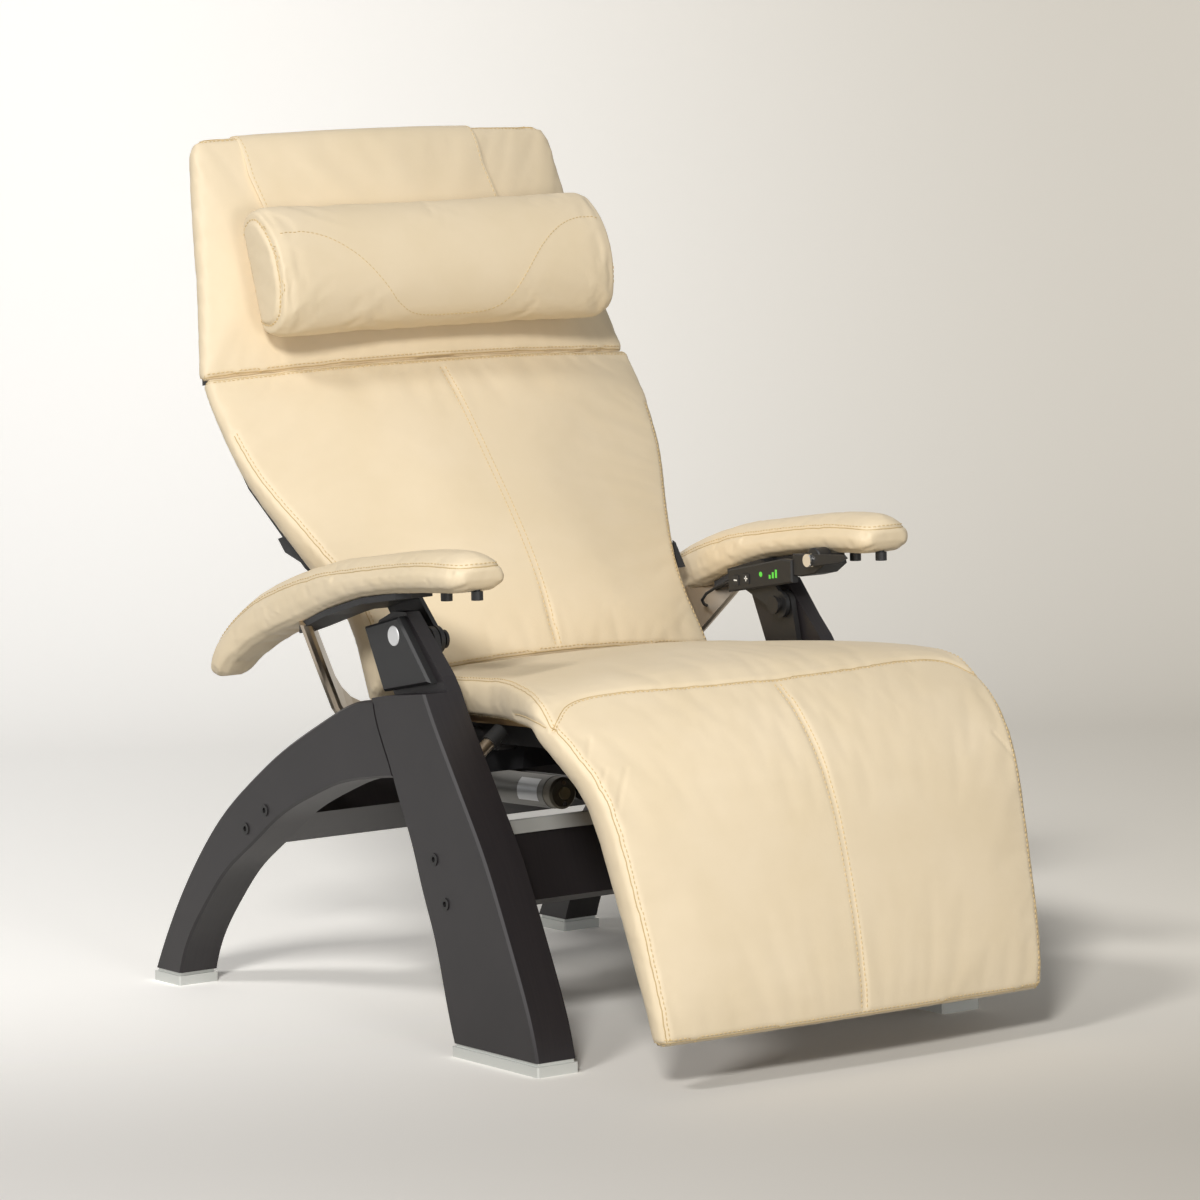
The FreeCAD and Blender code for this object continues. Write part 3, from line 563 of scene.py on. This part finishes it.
def welt_tree():
    """A rounded cord swept along the seam, as in a piped edge."""
    t, given, curve = run_tree("Welt")
    spaced = add(t, "GeometryNodeResampleCurve", {"mode": "LENGTH"}, Curve=curve, Length=given["Pitch"])
    profile = add(t, "GeometryNodeCurvePrimitiveCircle", {"mode": "RADIUS"}, Resolution=10,
                  Radius=given["Radius"])
    swept = add(t, "GeometryNodeCurveToMesh", None, Curve=spaced.outputs[0],
                Profile_Curve=profile.outputs[0], Fill_Caps=True)
    return end_tree(t, given, swept.outputs[0])


TREES = {}


def shared_tree(make):
    """The tree that the function makes, built once."""
    if make not in TREES:
        TREES[make] = make()
    return TREES[make]


# The line in a seam: its round's radius, how far its middle lies below the leather, and its step.
SEAM_RADIUS = 0.75 * MM
SEAM_SINK = 0.1 * MM
SEAM_STEP = 4 * MM
# Top stitching: how far it runs from the seam, and how far its middle stands above the leather.
STITCH_OFF = 4.5 * MM
STITCH_LIFT = 0.4 * MM


def along_lines(name, lines, tree, body, finish, pitch, length, radius):
    """Runs a tree over the lines and keeps the result as one plain mesh that rides the body."""
    mesh = bpy.data.meshes.new(name)
    points = []
    edges = []
    for line in lines:
        start = len(points)
        points += [tuple(q) for q in line]
        edges += [(i, i + 1) for i in range(start, start + len(line) - 1)]
    mesh.from_pydata(points, edges, [])
    o = new_object(name, mesh, finish)
    m = o.modifiers.new("Run", "NODES")
    m.node_group = tree
    values = {"Pitch": pitch, "Length": length, "Radius": radius, "Material": FINISH[finish]}
    for item in tree.interface.items_tree:
        if item.in_out == "INPUT" and item.name in values:
            m[item.identifier] = values[item.name]
    o.update_tag()
    evaluated_mesh(o)
    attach(o, body)
    return o


def stitches(name, lines, body):
    """A row of top stitching along each line."""
    p = look()
    return along_lines(name, lines, shared_tree(stitch_tree), body, "thread", p.stitch_pitch,
                       p.stitch_length, p.stitch_radius)


def fine_seam(name, lines, o, body):
    """The fine line where two panels meet, half sunk in the leather, in the darker seam leather that paints
    the shade of the seam.
    """
    return along_lines(name, settled(lines, o, -SEAM_SINK), shared_tree(welt_tree), body, "seam",
                       SEAM_STEP, 0.0, SEAM_RADIUS)


def length_of(line):
    """How long a line of points is."""
    return sum((b - a).length for a, b in zip(line, line[1:]))


def longest(lines, least):
    """Seams long enough to show."""
    return [line for line in lines if length_of(line) > least]


# Further from the middle than this, a seam is a panel's side.
PANEL_SIDE = 0.2
# Seams shorter than this have no stitches, or no line.
STITCHED_FROM = 0.12
LINED_FROM = 0.2
# How far outside a cushion a ray starts towards its leather.
RAY_REACH = 0.3


def inside(line, o, offset, lift):
    """A line beside a seam, towards the middle of the panel, on the leather."""
    tree = surface_of(o)
    middle = sum((v.co for v in o.data.vertices), Vector()) / len(o.data.vertices)
    out = []
    for i, q in enumerate(line):
        along = heading(line, i)
        normal = tree.find_nearest(q)[1]
        aim = Vector((0 if abs(q.x) > PANEL_SIDE else q.x, middle.y, middle.z)) - q
        aim -= along * aim.dot(along)
        aim -= normal * aim.dot(normal)
        if aim.length < 1e-6:
            continue
        spot, normal, _, _ = tree.find_nearest(q + aim.normalized() * offset)
        out.append(spot + normal * lift)
    return out


def seam_rows(name, seams, o, body, least=STITCHED_FROM):
    """Top stitching beside the sewn edges of a cushion."""
    lines = settled(longest(seams, least), o)
    rows = [inside(line, o, STITCH_OFF, STITCH_LIFT) for line in lines]
    return stitches(name, [row for row in rows if len(row) > 4], body)


def twin_rows(name, seam, o, body):
    """A row of stitches on each side of a flat-felled seam."""
    centre = settled([seam], o)[0]
    return stitches(name, [beside(centre, o, off, STITCH_LIFT) for off in (-STITCH_OFF, STITCH_OFF)], body)


# The seam down the middle of the back, (x, y, z) in metres.
CENTRE_SEAM = [(0, 0.0755, 0.475), (0, 0.1285, 0.560), (0, 0.1815, 0.633), (0, 0.2515, 0.718),
               (0, 0.3075, 0.789), (0, 0.3385, 0.822)]
# Which way the boards behind the back and head cushions face.
BACK_REAR = Vector((0, 0.9, -0.43)).normalized()


def back_pieces():
    """Back cushion, head cushion with its flap, and their stitching."""
    centre = smoothed_line(CENTRE_SEAM)
    back, seams = cushion("back_leather", ["back_cushion"], "backrest", BACK_REAR, [centre], puff=2.5,
                          slack=0.01, cap=9 * MM)
    twin_rows("back_centre_stitches", centre, back, "backrest")
    seam_rows("back_edge_stitches", seams, back, "backrest")
    fine_seam("back_seam_lines", longest(seams, LINED_FROM), back, "backrest")
    head, seams = cushion("head_leather", ["head_cushion"], "backrest", BACK_REAR, [], puff=2.5,
                          slack=0.01, cap=6 * MM)
    seam_rows("head_edge_stitches", seams, head, "backrest")
    fine_seam("head_seam_lines", longest(seams, LINED_FROM), head, "backrest")
    flap_piece(head)


# The flap is laid by rays: side by side down the front of the head cushion, then fanned about the hub over
# its top. SPINE is the way up along the back, RUN the flap's length down the front, HALF half its width,
# SKEW how far its upper end leans over, and CLEAR its height above the cushion. Where a ray misses at a
# corner, the cushion's point nearest to a spot NEAR out from the ray's hub is taken.
FLAP_HUB = Vector((0, 0.4620, 1.0880))
SPINE = Vector((0, 0.303, 0.953))
FLAP_RUN = 0.185
FLAP_HALF = 0.188
FLAP_SKEW = 36 * MM
FLAP_THICK = 3.2 * MM
FLAP_CLEAR = 1 * MM
FLAP_NEAR = 50 * MM
FLAP_FRONT_ROWS = 30
FLAP_TOP_ROWS = 26
FLAP_END_ANGLE = 44
FLAP_COLUMNS = 63


def flap_rows(head):
    """The flap's points on the head cushion, row by row from its lower edge to the back of the head."""
    tree = surface_of(head)
    outward = Vector((0, -SPINE.z, SPINE.y))
    rays = [(FLAP_HUB - SPINE * (FLAP_RUN * (1 - k / FLAP_FRONT_ROWS)), outward)
            for k in range(FLAP_FRONT_ROWS)]
    first = math.degrees(math.atan2(outward.z, outward.y))
    rays += [(FLAP_HUB, Vector((0, math.cos(math.radians(a)), math.sin(math.radians(a)))))
             for a in np.linspace(first, FLAP_END_ANGLE, FLAP_TOP_ROWS)]
    rows = []
    for k, (hub, out) in enumerate(rays):
        lean = FLAP_SKEW * min(1.0, k / FLAP_FRONT_ROWS)
        row = []
        for i in range(FLAP_COLUMNS):
            at = hub + Vector((FLAP_HALF * (2 * i / (FLAP_COLUMNS - 1) - 1) - lean, 0, 0))
            spot = tree.ray_cast(at + out * RAY_REACH, -out)[0] or tree.find_nearest(at + out * FLAP_NEAR)[0]
            row.append(spot + out * FLAP_CLEAR)
        rows.append(row)
    return rows


def flap_piece(head):
    """A leather flap laid over the top of the head cushion, with hemmed edges."""
    rows = flap_rows(head)
    mesh = bpy.data.meshes.new("head_flap_leather")
    n = FLAP_COLUMNS
    faces = [(r * n + i, r * n + i + 1, (r + 1) * n + i + 1, (r + 1) * n + i)
             for r in range(len(rows) - 1) for i in range(n - 1)]
    mesh.from_pydata([tuple(q) for row in rows for q in row], [], faces)
    o = new_object("head_flap_leather", mesh, "leather")
    ease = o.modifiers.new("Ease", "SMOOTH")
    ease.iterations = 6
    thick = o.modifiers.new("Hide", "SOLIDIFY")
    thick.thickness = FLAP_THICK
    thick.offset = 1
    edge = o.modifiers.new("Edge", "BEVEL")
    edge.width = 0.8 * MM
    edge.segments = 2
    edge.limit_method = "ANGLE"
    evaluated_mesh(o)
    bm = bmesh.new()
    bm.from_mesh(o.data)
    bmesh.ops.recalc_face_normals(bm, faces=bm.faces)
    bm.to_mesh(o.data)
    bm.free()
    o.data.shade_smooth()
    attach(o, "backrest")
    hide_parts("head_flap")
    skin = surface_of(o)
    above = Vector((0, -SPINE.z, SPINE.y)) * 10 * MM
    hems = [[skin.find_nearest(q + above)[0] for q in even([row[i] for row in rows], 5 * MM)]
            for i in (1, n - 2)]
    hem = stitches("flap_hem_stitches", hems, "backrest")


# The pillow's stitched curve as (distance from the middle, height), the depth at which it is drawn before it
# settles on the leather, and how far out the seam around each end runs.
PILLOW_CURVE = [(0, 0.900), (0.050, 0.903), (0.085, 0.918), (0.115, 0.948), (0.150, 0.985), (0.190, 1.017),
                (0.225, 1.032), (0.258, 1.034)]
PILLOW_FRONT = 0.312
PILLOW_RING = 0.2685
PILLOW_REAR = Vector((0, 0.95, -0.31)).normalized()
GIRTH_POINTS = 96


def girth(o, x):
    """A closed line around the piece in the plane at x."""
    tree = surface_of(o)
    low = Vector([min(v.co[k] for v in o.data.vertices) for k in range(3)])
    high = Vector([max(v.co[k] for v in o.data.vertices) for k in range(3)])
    hub = Vector((x, (low.y + high.y) / 2, (low.z + high.z) / 2))
    out = []
    for k in range(GIRTH_POINTS + 1):
        a = 2 * math.pi * k / GIRTH_POINTS
        ray = Vector((0, math.cos(a), math.sin(a)))
        out.append(tree.ray_cast(hub + ray * RAY_REACH, -ray)[0])
    return out


def pillow_piece():
    """Neck pillow: stitched curve on the front and a seam around each end."""
    half = [(x, PILLOW_FRONT, z) for x, z in PILLOW_CURVE]
    curve = smoothed_line(mirrored(half)[:-1] + half)
    pillow, seams = cushion("pillow_leather", ["pillow"], "pillow_body", PILLOW_REAR, [], puff=2.0,
                            slack=0.01, cap=6 * MM, cell=5 * MM)
    rings = [girth(pillow, x) for x in (-PILLOW_RING, PILLOW_RING)]
    dip_along(pillow, rings, 6 * MM, 2 * MM)
    stitches("pillow_curve_stitches", settled([curve], pillow, STITCH_LIFT), "pillow_body")
    lanes = [[q - Vector((math.copysign(STITCH_OFF, q.x), 0, 0)) for q in ring] for ring in rings]
    stitches("pillow_ring_stitches", settled(lanes, pillow, STITCH_LIFT), "pillow_body")
    seam_rows("pillow_edge_stitches", seams, pillow, "pillow_body", least=0.15)


# The joint between seat and leg rest: a point on it, its normal and how near to it a point counts as on it.
KNEE_AT = Vector((0, -0.4000, 0.4660))
KNEE_NORMAL = Vector((0, 0.788, 0.616))
KNEE_NEAR = 7 * MM
# Which way the boards below the seat and the leg rest face.
SEAT_UNDER = Vector((0, 0.6, -0.8))
# The seam down the middle of the leg rest, (x, y, z) in metres.
LEG_SEAM = [(0, -0.4105, 0.464), (0, -0.4475, 0.428), (0, -0.4975, 0.358), (0, -0.5375, 0.229),
            (0, -0.5655, 0.118), (0, -0.5690, 0.075)]
# The cross seam bows over the knee and turns down at each side, where it meets the boxing.
KNEE_SEAM = [(0, -0.396, 0.469), (0.120, -0.388, 0.469), (0.233, -0.371, 0.468), (0.292, -0.371, 0.460),
             (0.321, -0.386, 0.445), (0.334, -0.393, 0.435)]
# Seam along the lower edge of the seat's side boxing.
SIDE_SEAM = [(0.338, -0.060, 0.418), (0.338, -0.183, 0.427), (0.338, -0.280, 0.438), (0.338, -0.352, 0.440),
             (0.338, -0.381, 0.435)]
# Puckers where the boxing pulls at the leg rest's edges.
PUCKERS = [[(-0.301, -0.425, 0.422), (-0.318, -0.444, 0.402)],
           [(-0.303, -0.460, 0.388), (-0.321, -0.472, 0.366)],
           [(-0.276, -0.464, 0.387), (-0.292, -0.477, 0.366), (-0.306, -0.489, 0.343)],
           [(0.290, -0.470, 0.376), (0.312, -0.487, 0.345)]]
# Rays for the side seams start this far out, and hits nearer to the middle than the boxing are left out.
BEYOND_SIDE = 0.45
BOXING_FROM = 0.30


def at_knee(q):
    """Whether a point lies in the joint between seat and leg rest."""
    return abs((q - KNEE_AT).dot(KNEE_NORMAL)) < KNEE_NEAR


def from_side(points, o, side):
    """The smoothed line thrown onto the leather from the left or the right."""
    tree = surface_of(o)
    out = Vector((side, 0, 0))
    hits = [tree.ray_cast(Vector((side * BEYOND_SIDE, q.y, q.z)), -out)[0] for q in smoothed_line(points)]
    return [q for q in hits if q is not None and abs(q.x) > BOXING_FROM]


def seat_pieces():
    """Seat and leg rest under one hide that runs on over the knee, with its cross seam and centre seam."""
    centre = smoothed_line(LEG_SEAM)
    skin, seams = cushion("seat_leather", ["seat_cushion", "legrest_cushion"], "seat_frame", SEAT_UNDER,
                          [centre], puff=2.5, slack=0.012, cap=9 * MM, joined=at_knee)
    knee = smoothed_line(mirrored(KNEE_SEAM)[:-1] + KNEE_SEAM)
    sides = [from_side(SIDE_SEAM, skin, 1), from_side(mirrored(SIDE_SEAM), skin, -1)]
    dip_along(skin, settled([knee] + sides, skin), 7 * MM, 2.2 * MM)
    dip_along(skin, [[Vector(q) for q in line] for line in PUCKERS], 5 * MM, 1.1 * MM)
    fine_seam("seat_seam_lines", [knee] + sides + longest(seams, STITCHED_FROM), skin, "seat_frame")
    twin_rows("legrest_centre_stitches", centre, skin, "seat_frame")
    over_knee = settled([knee], skin)[0]
    stitches("knee_stitches", [beside(over_knee, skin, STITCH_OFF, STITCH_LIFT)], "seat_frame")
    seam_rows("seat_edge_stitches", seams, skin, "seat_frame")


# The seam around an armrest pad: its drop below the crown, where its sides end short of the pad's front and
# tail, the spacing of its points, how far it fans out at each end, how it sinks around the tail, and how far
# outside the pad its rays start.
PAD_SEAM_DROP = 18 * MM
PAD_FRONT_TURN = 36 * MM
PAD_TAIL_TURN = 26 * MM
PAD_STEP = 6 * MM
PAD_FAN = np.radians(np.linspace(-80, 80, 15))
PAD_TAIL_SINK = 0.8
PAD_REACH = 0.15


def shoulder(o):
    """A closed line around an armrest pad at a steady drop below its crown."""
    tree = surface_of(o)

    def outer(hub, out):
        return tree.ray_cast(hub + out * PAD_REACH, -out)[0]

    pts = [v.co for v in o.data.vertices]
    front = min(q.y for q in pts) + PAD_FRONT_TURN
    tail = max(q.y for q in pts) - PAD_TAIL_TURN
    hubs = []
    for y in np.arange(front, tail, PAD_STEP):
        ring = [q for q in pts if abs(q.y - y) < 5 * MM]
        middle = (min(q.x for q in ring) + max(q.x for q in ring)) / 2
        hubs.append(Vector((middle, y, max(q.z for q in ring) - PAD_SEAM_DROP)))
    right = [outer(hub, Vector((-1, 0, 0))) for hub in hubs]
    left = [outer(hub, Vector((1, 0, 0))) for hub in hubs]
    nose = [outer(hubs[0], Vector((math.sin(a), -math.cos(a), 0))) for a in PAD_FAN]
    end = [outer(hubs[-1], Vector((math.sin(a), math.cos(a), -PAD_TAIL_SINK * math.cos(a))).normalized())
           for a in PAD_FAN]
    loop = [q for q in right[::-1] + nose + left + end[::-1] if q is not None]
    return loop + [loop[0]]


def arm_pieces():
    """Armrest pads with the seam and the stitching around their shoulders."""
    for side in ("right", "left"):
        pad, _ = cushion("armrest_leather_" + side, ["armrest_pad_" + side], "arm_carriage", None, [],
                         puff=1.5, slack=0.004, cap=3 * MM, sharp=40, cell=5 * MM)
        loop = shoulder(pad)
        dip_along(pad, [loop], 5 * MM, 1.4 * MM)
        fine_seam("armrest_seam_" + side, [loop], pad, "arm_carriage")
        row = [q + Vector((0, 0, STITCH_OFF)) for q in loop]
        stitches("armrest_stitches_" + side, settled([row], pad, STITCH_LIFT), "arm_carriage")


# The marks on the keys: half the length and half the width of a stroke, and how far it stands out of the key
# and reaches into it.
STROKE_LONG = 3.6 * MM
STROKE_WIDE = 0.9 * MM
PRINT_PROUD = 0.1 * MM
PRINT_DEEP = 0.3 * MM


def stroke(name, node, body, tall, wide):
    """One printed stroke in the middle of a key."""
    low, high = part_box(node)
    middle = Vector((low[0] + (PRINT_DEEP - PRINT_PROUD) / 2, (low[1] + high[1]) / 2, (low[2] + high[2]) / 2))
    size = Vector((PRINT_DEEP + PRINT_PROUD, 2 * wide, 2 * tall))
    mesh = bpy.data.meshes.new(name)
    bm = bmesh.new()
    bmesh.ops.create_cube(bm, size=1.0)
    for v in bm.verts:
        v.co = middle + v.co * size
    bm.to_mesh(mesh)
    bm.free()
    o = new_object(name, mesh, "print_white")
    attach(o, body)


def key_prints():
    """White minus and plus on the two keys."""
    stroke("minus_key_print_0", "minus_key", "minus_body", STROKE_WIDE, STROKE_LONG)
    stroke("plus_key_print_0", "plus_key", "plus_body", STROKE_WIDE, STROKE_LONG)
    stroke("plus_key_print_1", "plus_key", "plus_body", STROKE_LONG, STROKE_WIDE)


# The motor's axis, and the label on it: how far it lies over the can, its two ends along the can measured
# from the middle of the end cap, and its two edges around the can.
MOTOR_AXIS = Vector((0, 345.0, -12.0)).normalized()
LABEL_LIFT = 0.15 * MM
LABEL_ENDS = (22 * MM, 68 * MM)
LABEL_EDGES = (150, 235)
LABEL_COLUMNS = 18


def motor_label():
    """Plain foil around part of the motor can."""
    low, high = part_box("actuator_motor")
    radius = (high[0] - low[0]) / 2 + LABEL_LIFT
    cap_low, cap_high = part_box("motor_end_cap")
    cap = Vector(((high[0] + low[0]) / 2, (cap_low[1] + cap_high[1]) / 2, (cap_low[2] + cap_high[2]) / 2))
    up = Vector((0, -MOTOR_AXIS.z, MOTOR_AXIS.y))
    verts = []
    for along in LABEL_ENDS:
        for a in np.radians(np.linspace(*LABEL_EDGES, LABEL_COLUMNS)):
            out = Vector((math.cos(a), 0, 0)) - up * math.sin(a)
            verts.append(tuple(cap + MOTOR_AXIS * along + out * radius))
    n = LABEL_COLUMNS
    mesh = bpy.data.meshes.new("motor_label")
    mesh.from_pydata(verts, [], [(i, i + 1, i + n + 1, i + n) for i in range(n - 1)])
    o = new_object("motor_label", mesh, "label")
    mesh.shade_smooth()
    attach(o, "actuator_body")


def seen_rays(tree):
    """One for rays that show the background, also in metal or glass, and zero for those that light."""
    rays = add(tree, "ShaderNodeLightPath").outputs
    seen = rays["Is Camera Ray"]
    for kind in ("Is Glossy Ray", "Is Transmission Ray"):
        either = add(tree, "ShaderNodeMath", {"operation": "MAXIMUM"})
        tree.links.new(seen, either.inputs[0])
        tree.links.new(rays[kind], either.inputs[1])
        seen = either.outputs[0]
    return seen


# The picture's right and its depth, on the floor.
ACROSS = Vector((math.cos(AZIMUTH), math.sin(AZIMUTH), 0))
AHEAD = Vector((-math.sin(AZIMUTH), math.cos(AZIMUTH), 0))
# The cove's painted light and shade fade along two ways, paler on the camera's left and darker to its right
# and towards the camera: (way, from, to, first tone, last tone), in metres from the chair.
LIGHT_SHADE_FADES = ((ACROSS, -1.25, 1.25, (1.0, 0.992, 0.972, 1), (0.67, 0.64, 0.58, 1)),
         (AHEAD, -1.0, 0.4, (0.57, 0.563, 0.556, 1), (1.0, 1.0, 1.0, 1)))
# The cove is a little darker for the light that it throws back and paler in the picture.
COVE_LIT = 0.65
COVE_SEEN = 1.37


def backdrop(name):
    """Matt emulsion on the cove, with painted light that makes it paler on the camera's left and painted shade
    that makes it darker towards the camera.
    """
    m = material(name, "DDD6CC", 0.8, Specular_IOR_Level=0.2)
    t = m.node_tree
    where = add(t, "ShaderNodeTexCoord").outputs["Object"]
    both = add(t, "ShaderNodeVectorMath", {"operation": "MULTIPLY"})
    # Each fade paints light or shade into the cove's colour.
    for (way, start, end, first, last), product in zip(LIGHT_SHADE_FADES, both.inputs):
        run = add(t, "ShaderNodeVectorMath", {"operation": "DOT_PRODUCT"})
        t.links.new(where, run.inputs[0])
        run.inputs[1].default_value = way
        level = add(t, "ShaderNodeMapRange", {"interpolation_type": "SMOOTHSTEP"}, Value=run.outputs["Value"],
                    From_Min=start, From_Max=end)
        ramp = add(t, "ShaderNodeValToRGB", None, Fac=level.outputs[0])
        ramp.color_ramp.elements[0].color = first
        ramp.color_ramp.elements[1].color = last
        t.links.new(ramp.outputs[0], product)
    lift = add(t, "ShaderNodeMapRange", None, Value=seen_rays(t), To_Min=COVE_LIT, To_Max=COVE_SEEN)
    pale = add(t, "ShaderNodeVectorMath", {"operation": "SCALE"}, Scale=lift.outputs[0])
    t.links.new(both.outputs[0], pale.inputs[0])
    t.links.new(pale.outputs[0], shader_of(m).inputs["Base Color"])
    # Seen from outside, the cove is clear, so that the chair can be looked at from every side.
    clear = add(t, "ShaderNodeBsdfTransparent")
    outside = add(t, "ShaderNodeNewGeometry").outputs["Backfacing"]
    mix = add(t, "ShaderNodeMixShader", None, Fac=outside)
    t.links.new(shader_of(m).outputs[0], mix.inputs[1])
    t.links.new(clear.outputs[0], mix.inputs[2])
    out = next(n for n in t.nodes if n.type == "OUTPUT_MATERIAL")
    t.links.new(mix.outputs[0], out.inputs["Surface"])
    return m


# The cove: half its width, which is also how far its floor runs towards the camera, where the floor is
# divided, how far behind the chair its wall stands, the radius and steps of its bend, and its height.
COVE_HALF = 9.0
COVE_DIVIDE = -2.0
COVE_WALL = 4.2
COVE_BEND = 1.6
COVE_STEPS = 16
COVE_HIGH = 7.0
LAMP_AIM = Vector((0, 0, 0.5))
# Each lamp's name, place, size in metres, power in watts and colour.
LAMPS = (("front left", (-5.4, -5.8, 4.9), 1.5, 525, (1.0, 0.98, 0.95)),
         ("low front", (-1.2, -5.6, 0.9), 1.6, 68, (1.0, 0.98, 0.95)),
         ("left", (-6.6, -1.2, 7.9), 1.8, 288, (1.0, 0.98, 0.96)))
# The world's strength as a light, and where it shows beyond the cove.
WORLD_LIT = 0.14
WORLD_SEEN = 0.55


def cove():
    """Pale seamless floor and wall, square to the camera."""
    foot = COVE_WALL - COVE_BEND
    profile = [(-COVE_HALF, 0.0), (COVE_DIVIDE, 0.0), (foot, 0.0)]
    for i in range(1, COVE_STEPS + 1):
        a = math.pi / 2 * i / COVE_STEPS
        profile.append((foot + COVE_BEND * math.sin(a), COVE_BEND - COVE_BEND * math.cos(a)))
    profile.append((COVE_WALL, COVE_HIGH))
    verts = [tuple(ACROSS * x + AHEAD * y + Vector((0, 0, z)))
             for y, z in profile for x in (-COVE_HALF, COVE_HALF)]
    mesh = bpy.data.meshes.new("sweep")
    mesh.from_pydata(verts, [], [(i, i + 1, i + 3, i + 2) for i in range(0, len(verts) - 2, 2)])
    mesh.shade_smooth()
    FINISH["backdrop"] = backdrop("Pale painted cove")
    new_object("sweep", mesh, "backdrop")


def lamps():
    """One lamp over the camera's left shoulder, one high on the left and a weak low one in front."""
    for name, at, size, power, colour in LAMPS:
        data = bpy.data.lights.new(name, "AREA")
        data.shape = "DISK"
        data.size = size
        data.energy = power
        data.color = colour
        o = bpy.data.objects.new(name, data)
        bpy.context.scene.collection.objects.link(o)
        o.location = at
        o.rotation_euler = (LAMP_AIM - Vector(at)).to_track_quat("-Z", "Y").to_euler()


def surroundings():
    """A dim sky as a light, which shows pale beyond the cove."""
    world = bpy.data.worlds.new("Studio")
    bpy.context.scene.world = world
    world.use_nodes = True
    tree = world.node_tree
    sky = next(n for n in tree.nodes if n.type == "BACKGROUND")
    sky.inputs["Color"].default_value = (0.95, 0.97, 1.0, 1)
    level = add(tree, "ShaderNodeMapRange", None, Value=seen_rays(tree), To_Min=WORLD_LIT, To_Max=WORLD_SEEN)
    tree.links.new(level.outputs[0], sky.inputs["Strength"])
    bpy.context.scene.view_settings.view_transform = "Standard"


def photo_camera():
    """Stands the camera where the photograph was taken."""
    back = Vector((0, 0, math.sin(ELEVATION))) - AHEAD * math.cos(ELEVATION)
    up = back.cross(ACROSS)
    c, s = math.cos(ROLL), math.sin(ROLL)
    rolled = Matrix((c * ACROSS + s * up, c * up - s * ACROSS, back)).transposed()
    data = bpy.data.cameras.new("photo")
    data.sensor_width = SENSOR
    data.lens = FOCAL_PX / PHOTO_SIZE * SENSOR
    data.clip_end = CLIP_END
    cam = bpy.data.objects.new("photo", data)
    bpy.context.scene.collection.objects.link(cam)
    cam.matrix_world = Matrix.Translation(CAMERA_AT) @ rolled.to_4x4()
    bpy.context.scene.camera = cam


class OBJECT_OT_chair_finishes(bpy.types.Operator):
    """Make the finishes and dress the rigid parts"""
    bl_idname = "object.chair_finishes"
    bl_label = "Finishes"

    def execute(self, context):
        make_finishes()
        dress_nodes()
        return {"FINISHED"}


class OBJECT_OT_chair_back(bpy.types.Operator):
    """Sew the back and head cushions"""
    bl_idname = "object.chair_back"
    bl_label = "Back and head"

    def execute(self, context):
        back_pieces()
        return {"FINISHED"}


class OBJECT_OT_chair_pillow(bpy.types.Operator):
    """Sew the neck pillow"""
    bl_idname = "object.chair_pillow"
    bl_label = "Pillow"

    def execute(self, context):
        pillow_piece()
        return {"FINISHED"}


class OBJECT_OT_chair_seat(bpy.types.Operator):
    """Sew the seat and leg-rest cushions"""
    bl_idname = "object.chair_seat"
    bl_label = "Seat and leg rest"

    def execute(self, context):
        seat_pieces()
        return {"FINISHED"}


class OBJECT_OT_chair_arms(bpy.types.Operator):
    """Sew the armrest pads"""
    bl_idname = "object.chair_arms"
    bl_label = "Armrests"

    def execute(self, context):
        arm_pieces()
        return {"FINISHED"}


class OBJECT_OT_chair_small(bpy.types.Operator):
    """Print the keys and stick on the motor's label"""
    bl_idname = "object.chair_small"
    bl_label = "Small parts"

    def execute(self, context):
        key_prints()
        motor_label()
        return {"FINISHED"}


class OBJECT_OT_chair_stage(bpy.types.Operator):
    """Set the studio and the camera"""
    bl_idname = "object.chair_stage"
    bl_label = "Studio"

    def execute(self, context):
        cove()
        lamps()
        surroundings()
        photo_camera()
        return {"FINISHED"}


OPERATORS = [OBJECT_OT_chair_finishes, OBJECT_OT_chair_back, OBJECT_OT_chair_pillow, OBJECT_OT_chair_seat,
             OBJECT_OT_chair_arms, OBJECT_OT_chair_small, OBJECT_OT_chair_stage]


class VIEW3D_PT_chair(bpy.types.Panel):
    """Sidebar panel with the chair's settings and steps"""
    bl_label = "Massage recliner"
    bl_space_type = "VIEW_3D"
    bl_region_type = "UI"
    bl_category = "Recliner"

    def draw(self, context):
        for key in ChairLook.__annotations__:
            self.layout.prop(context.scene.chair_look, key)
        for step in OPERATORS:
            self.layout.operator(step.bl_idname)


def register():
    for c in [ChairLook, *OPERATORS, VIEW3D_PT_chair]:
        bpy.utils.register_class(c)
    bpy.types.Scene.chair_look = bpy.props.PointerProperty(type=ChairLook)


def unregister():
    del bpy.types.Scene.chair_look
    for c in reversed([ChairLook, *OPERATORS, VIEW3D_PT_chair]):
        bpy.utils.unregister_class(c)


def main():
    register()
    bpy.ops.object.chair_finishes()
    bpy.ops.object.chair_back()
    bpy.ops.object.chair_pillow()
    bpy.ops.object.chair_seat()
    bpy.ops.object.chair_arms()
    bpy.ops.object.chair_small()
    bpy.ops.object.chair_stage()


if __name__ == "__main__":
    main()
